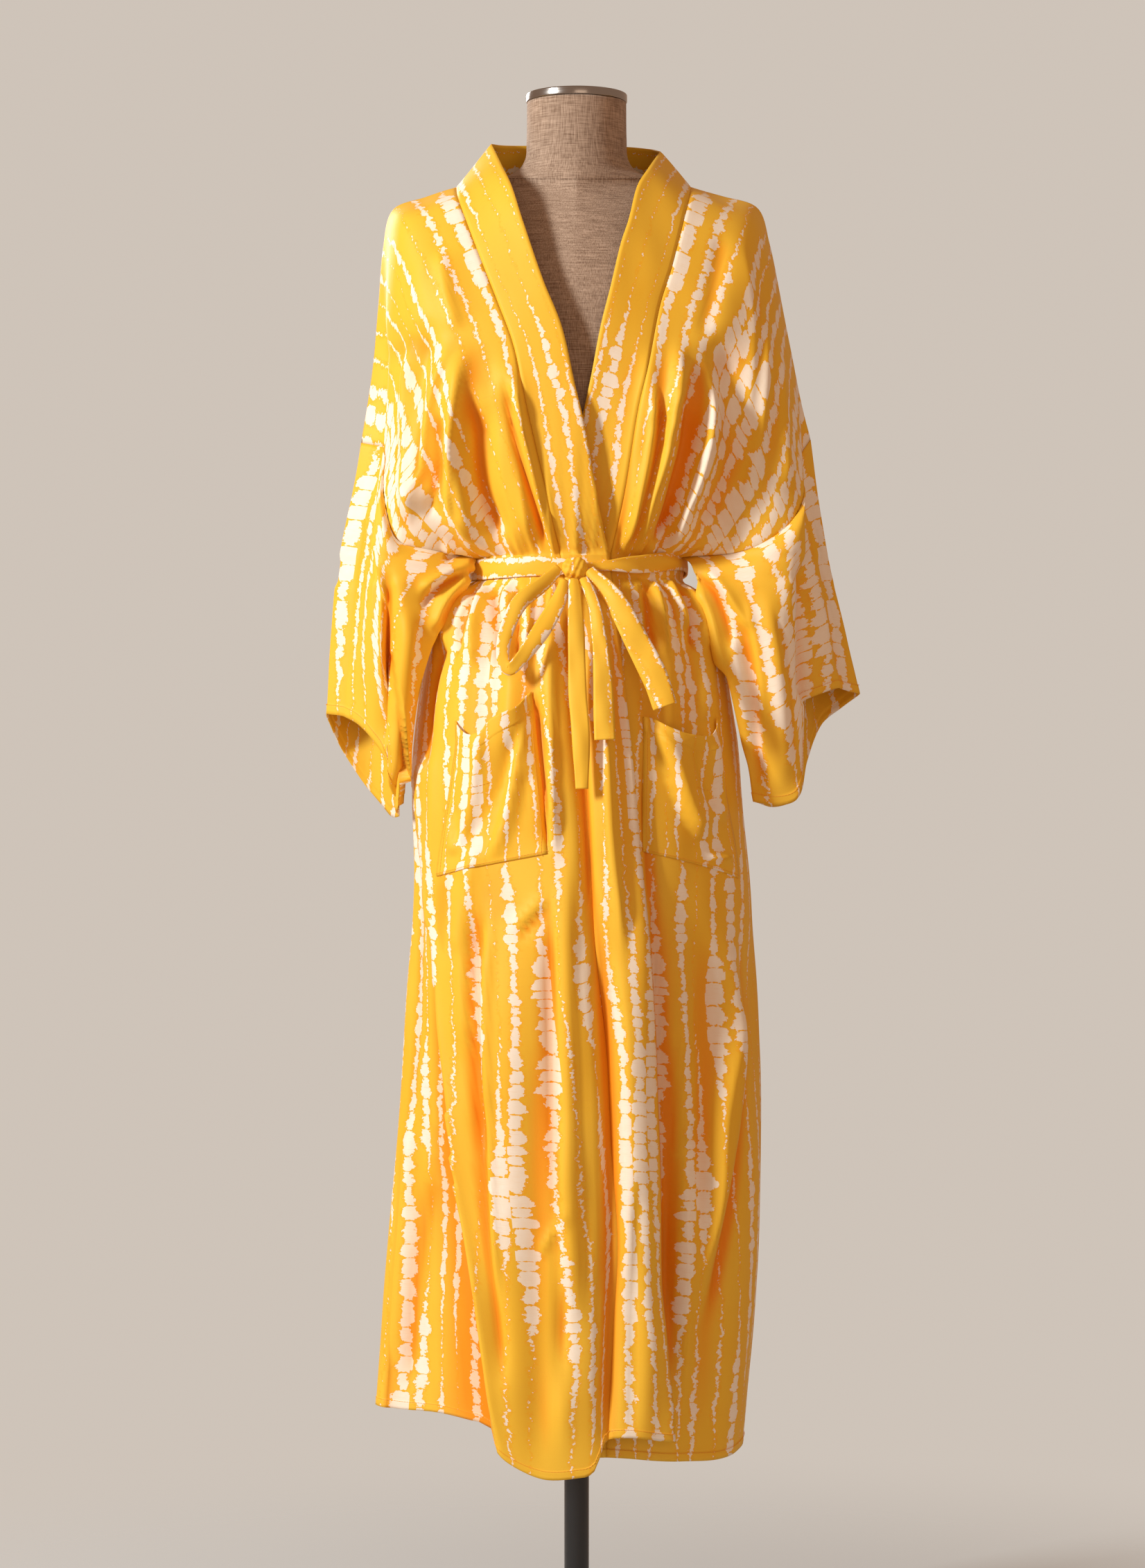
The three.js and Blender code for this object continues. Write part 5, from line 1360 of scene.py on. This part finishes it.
RIBBONS = [
    # node, widths, rows, cup, twist in degrees, seed, points
    ("bow_loop_right", [10, 15, 16, 14, 12, 14, 18, 16, 8], 150, 1.4, [0, 10, 0, 0, -15, 0, 10, 0], 1,
     [[-17.9, -108.3, 1160.5], [-32, -120, 1146], [-57, -132, 1125], [-71, -136, 1095], [-74, -138, 1070],
      [-68, -141, 1058], [-58, -144, 1066], [-36, -139, 1096], [-18, -124, 1128], [-12, -112, 1148]]),
    ("bow_loop_left", [10, 20, 24, 26, 24], 110, 1.6, [0, -12, 6, -6, 0], 2,
     [[12.9, -108.5, 1158.4], [37, -126, 1130], [60, -138, 1086], [78, -146, 1050], [88, -150, 1020]]),
    ("belt_tail_long", [9, 15, 17, 18, 17, 12], 120, 1.2, [0, 8, 0, -8, 0, 0], 3,
     [[-3, -112, 1148.8], [-2, -126, 1134], [-1, -136, 1104], [1, -144, 1034], [4, -149, 993],
      [5, -154, 938]]),
    ("belt_tail_short", [8, 12, 16, 20, 21], 100, 1.2, [0, -10, 0, 6, 0], 4,
     [[7, -112, 1150.2], [14, -127, 1133], [19, -134, 1115], [25, -142, 1062], [28, -150, 987]]),
]
for node, widths, rows, cup, twist, seed, points in RIBBONS:
    shell(node + "_strip", ribbon_panel(node, points, widths, rows, cup, twist, seed), [node],
                         thickness=1.2)


KNOT_HALF, KNOT_PLACE, KNOT_CUT_AT = (13, 8, 12), (-2, -107.3, WAIST - 3), 0.95


def knot_points():
    """A rounded knot with the folds of the strip that is drawn round it."""
    down = np.linspace(0.001, np.pi - 0.001, 40)[:, None]
    around = (np.arange(64) / 64 * 2 * np.pi)[None]
    x, y, z = np.sin(down) * np.cos(around), np.sin(down) * np.sin(around), np.cos(down) + 0 * around
    wrap = 0.05 * np.sin(9 * z + 2.2 * x) + 0.05 * np.sin(13 * (x - 0.4 * z) + 1)
    waist = 1 - 0.12 * np.exp(-((x + 0.1) / 0.3) ** 2)
    front = np.clip(-y, 0, 1)
    swell = 1 + wrap * (0.3 + front)
    shape = np.stack([x * swell * (0.85 + 0.15 * waist), y * swell, z * swell * waist], -1)
    return shape * KNOT_HALF + KNOT_PLACE


knot = knot_points()
knot_spread = np.stack([knot[..., 0] * MM + KNOT_CUT_AT, knot[..., 2] * MM], -1).reshape(-1, 2)
mesh_piece("knot", knot.reshape(-1, 3), tube_faces(*knot.shape[:2]), robe_cloth, ["belt_knot"], knot_spread)


# Stitches: yellow thread on the robe's hems, cuffs and pockets, and taupe thread on the seam at the foot of
# the form's neck. Each stitch is a short bar that stands a little proud of the cloth.
def new_thread(name, color):
    material, tree, shader = new_material(name, color, 0.7)
    twist = stretched_noise(tree, (2600, 2600, 2600), 2)
    bump(tree, shader, twist, 0.4, 0.0002)
    tree.links.new(ramp(tree, twist, 0.3, 0.7, 0.6, 0.8), shader.inputs["Roughness"])
    return material


stitching = bpy.data.node_groups.new("stitches along lines", "GeometryNodeTree")
for label, kind in (("Geometry", "NodeSocketGeometry"), ("Pitch", "NodeSocketFloat"),
                    ("Stitch Length", "NodeSocketFloat"), ("Thread", "NodeSocketFloat"),
                    ("Material", "NodeSocketMaterial")):
    stitching.interface.new_socket(label, in_out="INPUT", socket_type=kind)
stitching.interface.new_socket("Geometry", in_out="OUTPUT", socket_type="NodeSocketGeometry")
given = stitching.nodes.new("NodeGroupInput").outputs
result = stitching.nodes.new("NodeGroupOutput").inputs
places = stitching.nodes.new("GeometryNodeCurveToPoints")
places.mode = "LENGTH"
bar = stitching.nodes.new("GeometryNodeMeshCylinder")
bar.inputs["Vertices"].default_value = 6
spread_bars = stitching.nodes.new("GeometryNodeInstanceOnPoints")
real = stitching.nodes.new("GeometryNodeRealizeInstances")
finish = stitching.nodes.new("GeometryNodeSetMaterial")
for start, end in ((given["Geometry"], places.inputs["Curve"]), (given["Pitch"], places.inputs["Length"]),
                   (given["Thread"], bar.inputs["Radius"]), (given["Stitch Length"], bar.inputs["Depth"]),
                   (places.outputs["Points"], spread_bars.inputs["Points"]),
                   (places.outputs["Rotation"], spread_bars.inputs["Rotation"]),
                   (bar.outputs["Mesh"], spread_bars.inputs["Instance"]),
                   (spread_bars.outputs["Instances"], real.inputs["Geometry"]),
                   (real.outputs["Geometry"], finish.inputs["Geometry"]),
                   (given["Material"], finish.inputs["Material"]),
                   (finish.outputs["Geometry"], result["Geometry"])):
    stitching.links.new(start, end)


def sewn(name, lines, material, slot, pitch=0.0032, length=0.0024, thread=0.00024):
    """Stitches along lines of points, as one plain mesh."""
    curve = bpy.data.curves.new(name + "_guide", "CURVE")
    curve.dimensions = "3D"
    for points in lines:
        spline = curve.splines.new("POLY")
        spline.points.add(len(points) - 1)
        places = np.concatenate([np.asarray(points) * MM, np.ones((len(points), 1))], 1)
        spline.points.foreach_set("co", places.ravel())
    guide = bpy.data.objects.new(name + "_guide", curve)
    bpy.context.scene.collection.objects.link(guide)
    modifier = guide.modifiers.new("stitches", "NODES")
    modifier.node_group = stitching
    sizes = {"Pitch": pitch, "Stitch Length": length, "Thread": thread, "Material": material}
    for item in stitching.interface.items_tree:
        if item.in_out == "INPUT" and item.name in sizes:
            modifier[item.identifier] = sizes[item.name]
    evaluated = guide.evaluated_get(bpy.context.evaluated_depsgraph_get())
    mesh = bpy.data.meshes.new_from_object(evaluated)
    mesh.name = name
    bpy.data.objects.remove(guide)
    placed(name, mesh, slot)


yellow_thread = new_thread("yellow sewing thread", (0.85, 0.38, 0.03))
taupe_thread = new_thread("taupe sewing thread", (0.2, 0.13, 0.09))


STITCH_PROUD = 0.15


def proud(panel, out=HEM_RAISED + STITCH_PROUD):
    return panel.points + panel.normals * out


HEM_LINE, POCKET_SIDE = -4, 1
hem_lines = [proud(one)[HEM_LINE] for one in body_panels]
hem_lines += [np.concatenate([proud(one)[HEM_LINE], proud(one)[HEM_LINE, :1]]) for one in sleeves]
sewn("hem_stitches", hem_lines, yellow_thread, "robe_cloth")
# Each pocket is sewn on at both sides and its foot, and has a short row of tacking in its middle.
TACK_ROW, TACK_START, TACK_END = 26, 12, 17
pocket_lines = []
for one in pockets.values():
    surface = proud(one, STITCH_PROUD)
    pocket_lines += [surface[POCKET_HEM_ROWS:, POCKET_SIDE], surface[POCKET_HEM_ROWS:, -1 - POCKET_SIDE],
                     surface[-2], surface[TACK_ROW, TACK_START:TACK_END]]
sewn("pocket_stitches", pocket_lines, yellow_thread, "robe_cloth")
NECK_FOOT, NECK_FOOT_DIP = 1571, 9
turn = np.radians(np.linspace(-88, 88, 60))
neck_line = form_point(turn, NECK_FOOT - NECK_FOOT_DIP * np.cos(turn) ** 2)
outward = np.array([1.004, 1.004, 1])
sewn("form_stitches", [neck_line * outward], taupe_thread, "form_linen", 0.0045, 0.003, 0.0003)


# Studio: a pale matt floor that fades into a pale backdrop tone, a large soft key light from the upper left
# of the photo, a weak fill, and a camera level with the robe's middle.
FLOOR_RADIUS, FLOOR_SIDES = 3, 64
floor_mesh = bpy.data.meshes.new("floor")
ring = [(FLOOR_RADIUS * math.cos(a / FLOOR_SIDES * 2 * math.pi),
         FLOOR_RADIUS * math.sin(a / FLOOR_SIDES * 2 * math.pi), 0) for a in range(FLOOR_SIDES)]
floor_mesh.from_pydata(ring, [], [list(range(FLOOR_SIDES))])
floor = bpy.data.objects.new("floor", floor_mesh)
bpy.context.scene.collection.objects.link(floor)
floor_paint, tree, shader = new_material("pale floor", (0.5, 0.55, 0.58), 0.9)
place = tree.nodes.new("ShaderNodeTexCoord")
gradient = tree.nodes.new("ShaderNodeTexGradient")
gradient.gradient_type = "SPHERICAL"
shrink = tree.nodes.new("ShaderNodeMapping")
shrink.inputs["Scale"].default_value = (0.7, 0.7, 0.7)
tree.links.new(place.outputs["Object"], shrink.inputs["Vector"])
tree.links.new(shrink.outputs["Vector"], gradient.inputs["Vector"])
tree.links.new(ramp(tree, gradient.outputs["Fac"], 0.0, 0.75), shader.inputs["Alpha"])
floor_mesh.materials.append(floor_paint)

world = bpy.data.worlds.new("studio")
bpy.context.scene.world = world
world.use_nodes = True
tree = world.node_tree
backdrop = tree.nodes["Background"]
backdrop.inputs["Color"].default_value = (0.62, 0.55, 0.485, 1)
backdrop.inputs["Strength"].default_value = 1.0
ambient = tree.nodes.new("ShaderNodeBackground")
ambient.inputs["Color"].default_value = (1, 0.63, 0.43, 1)
ambient.inputs["Strength"].default_value = 0.43
seen = tree.nodes.new("ShaderNodeLightPath")
choose = tree.nodes.new("ShaderNodeMixShader")
tree.links.new(seen.outputs["Is Camera Ray"], choose.inputs[0])
tree.links.new(ambient.outputs["Background"], choose.inputs[1])
tree.links.new(backdrop.outputs["Background"], choose.inputs[2])
tree.links.new(choose.outputs["Shader"], tree.nodes["World Output"].inputs["Surface"])


def area_light(name, place, aim, size, power, color=(1, 1, 1)):
    light = bpy.data.lights.new(name, "AREA")
    light.shape = "RECTANGLE"
    light.size, light.size_y = size
    light.energy = power
    light.color = color
    lamp = bpy.data.objects.new(name, light)
    lamp.location = place
    lamp.rotation_euler = (Vector(aim) - Vector(place)).to_track_quat("-Z", "Y").to_euler()
    bpy.context.scene.collection.objects.link(lamp)


area_light("key", (-2.7, -1.9, 2.3), (0, 0, 0.95), (0.42, 0.85), 122, (0.97, 0.97, 0.93))
area_light("fill", (0.6, -3.6, 1.3), (0, 0, 1.0), (1.6, 1.8), 11, (1, 0.74, 0.55))
area_light("back", (-1.6, 3.2, 2.4), (0, 0, 1.0), (1.2, 1.2), 60, (1, 0.97, 0.93))

CAMERA_DISTANCE, CAMERA_HEIGHT, CAMERA_ASIDE = 3.8, 0.943, -0.0043
FRAME_WIDTH, SENSOR_WIDTH = 1.1893, 36
camera_data = bpy.data.cameras.new("camera")
camera_data.sensor_fit = "HORIZONTAL"
camera_data.sensor_width = SENSOR_WIDTH
camera_data.lens = SENSOR_WIDTH * CAMERA_DISTANCE / FRAME_WIDTH
camera_data.clip_end = 50
camera = bpy.data.objects.new("camera", camera_data)
camera.location = (CAMERA_ASIDE, -CAMERA_DISTANCE, CAMERA_HEIGHT)
camera.rotation_euler = (math.pi / 2, 0, 0)
bpy.context.scene.collection.objects.link(camera)
bpy.context.scene.camera = camera
bpy.context.scene.view_settings.view_transform = "Standard"
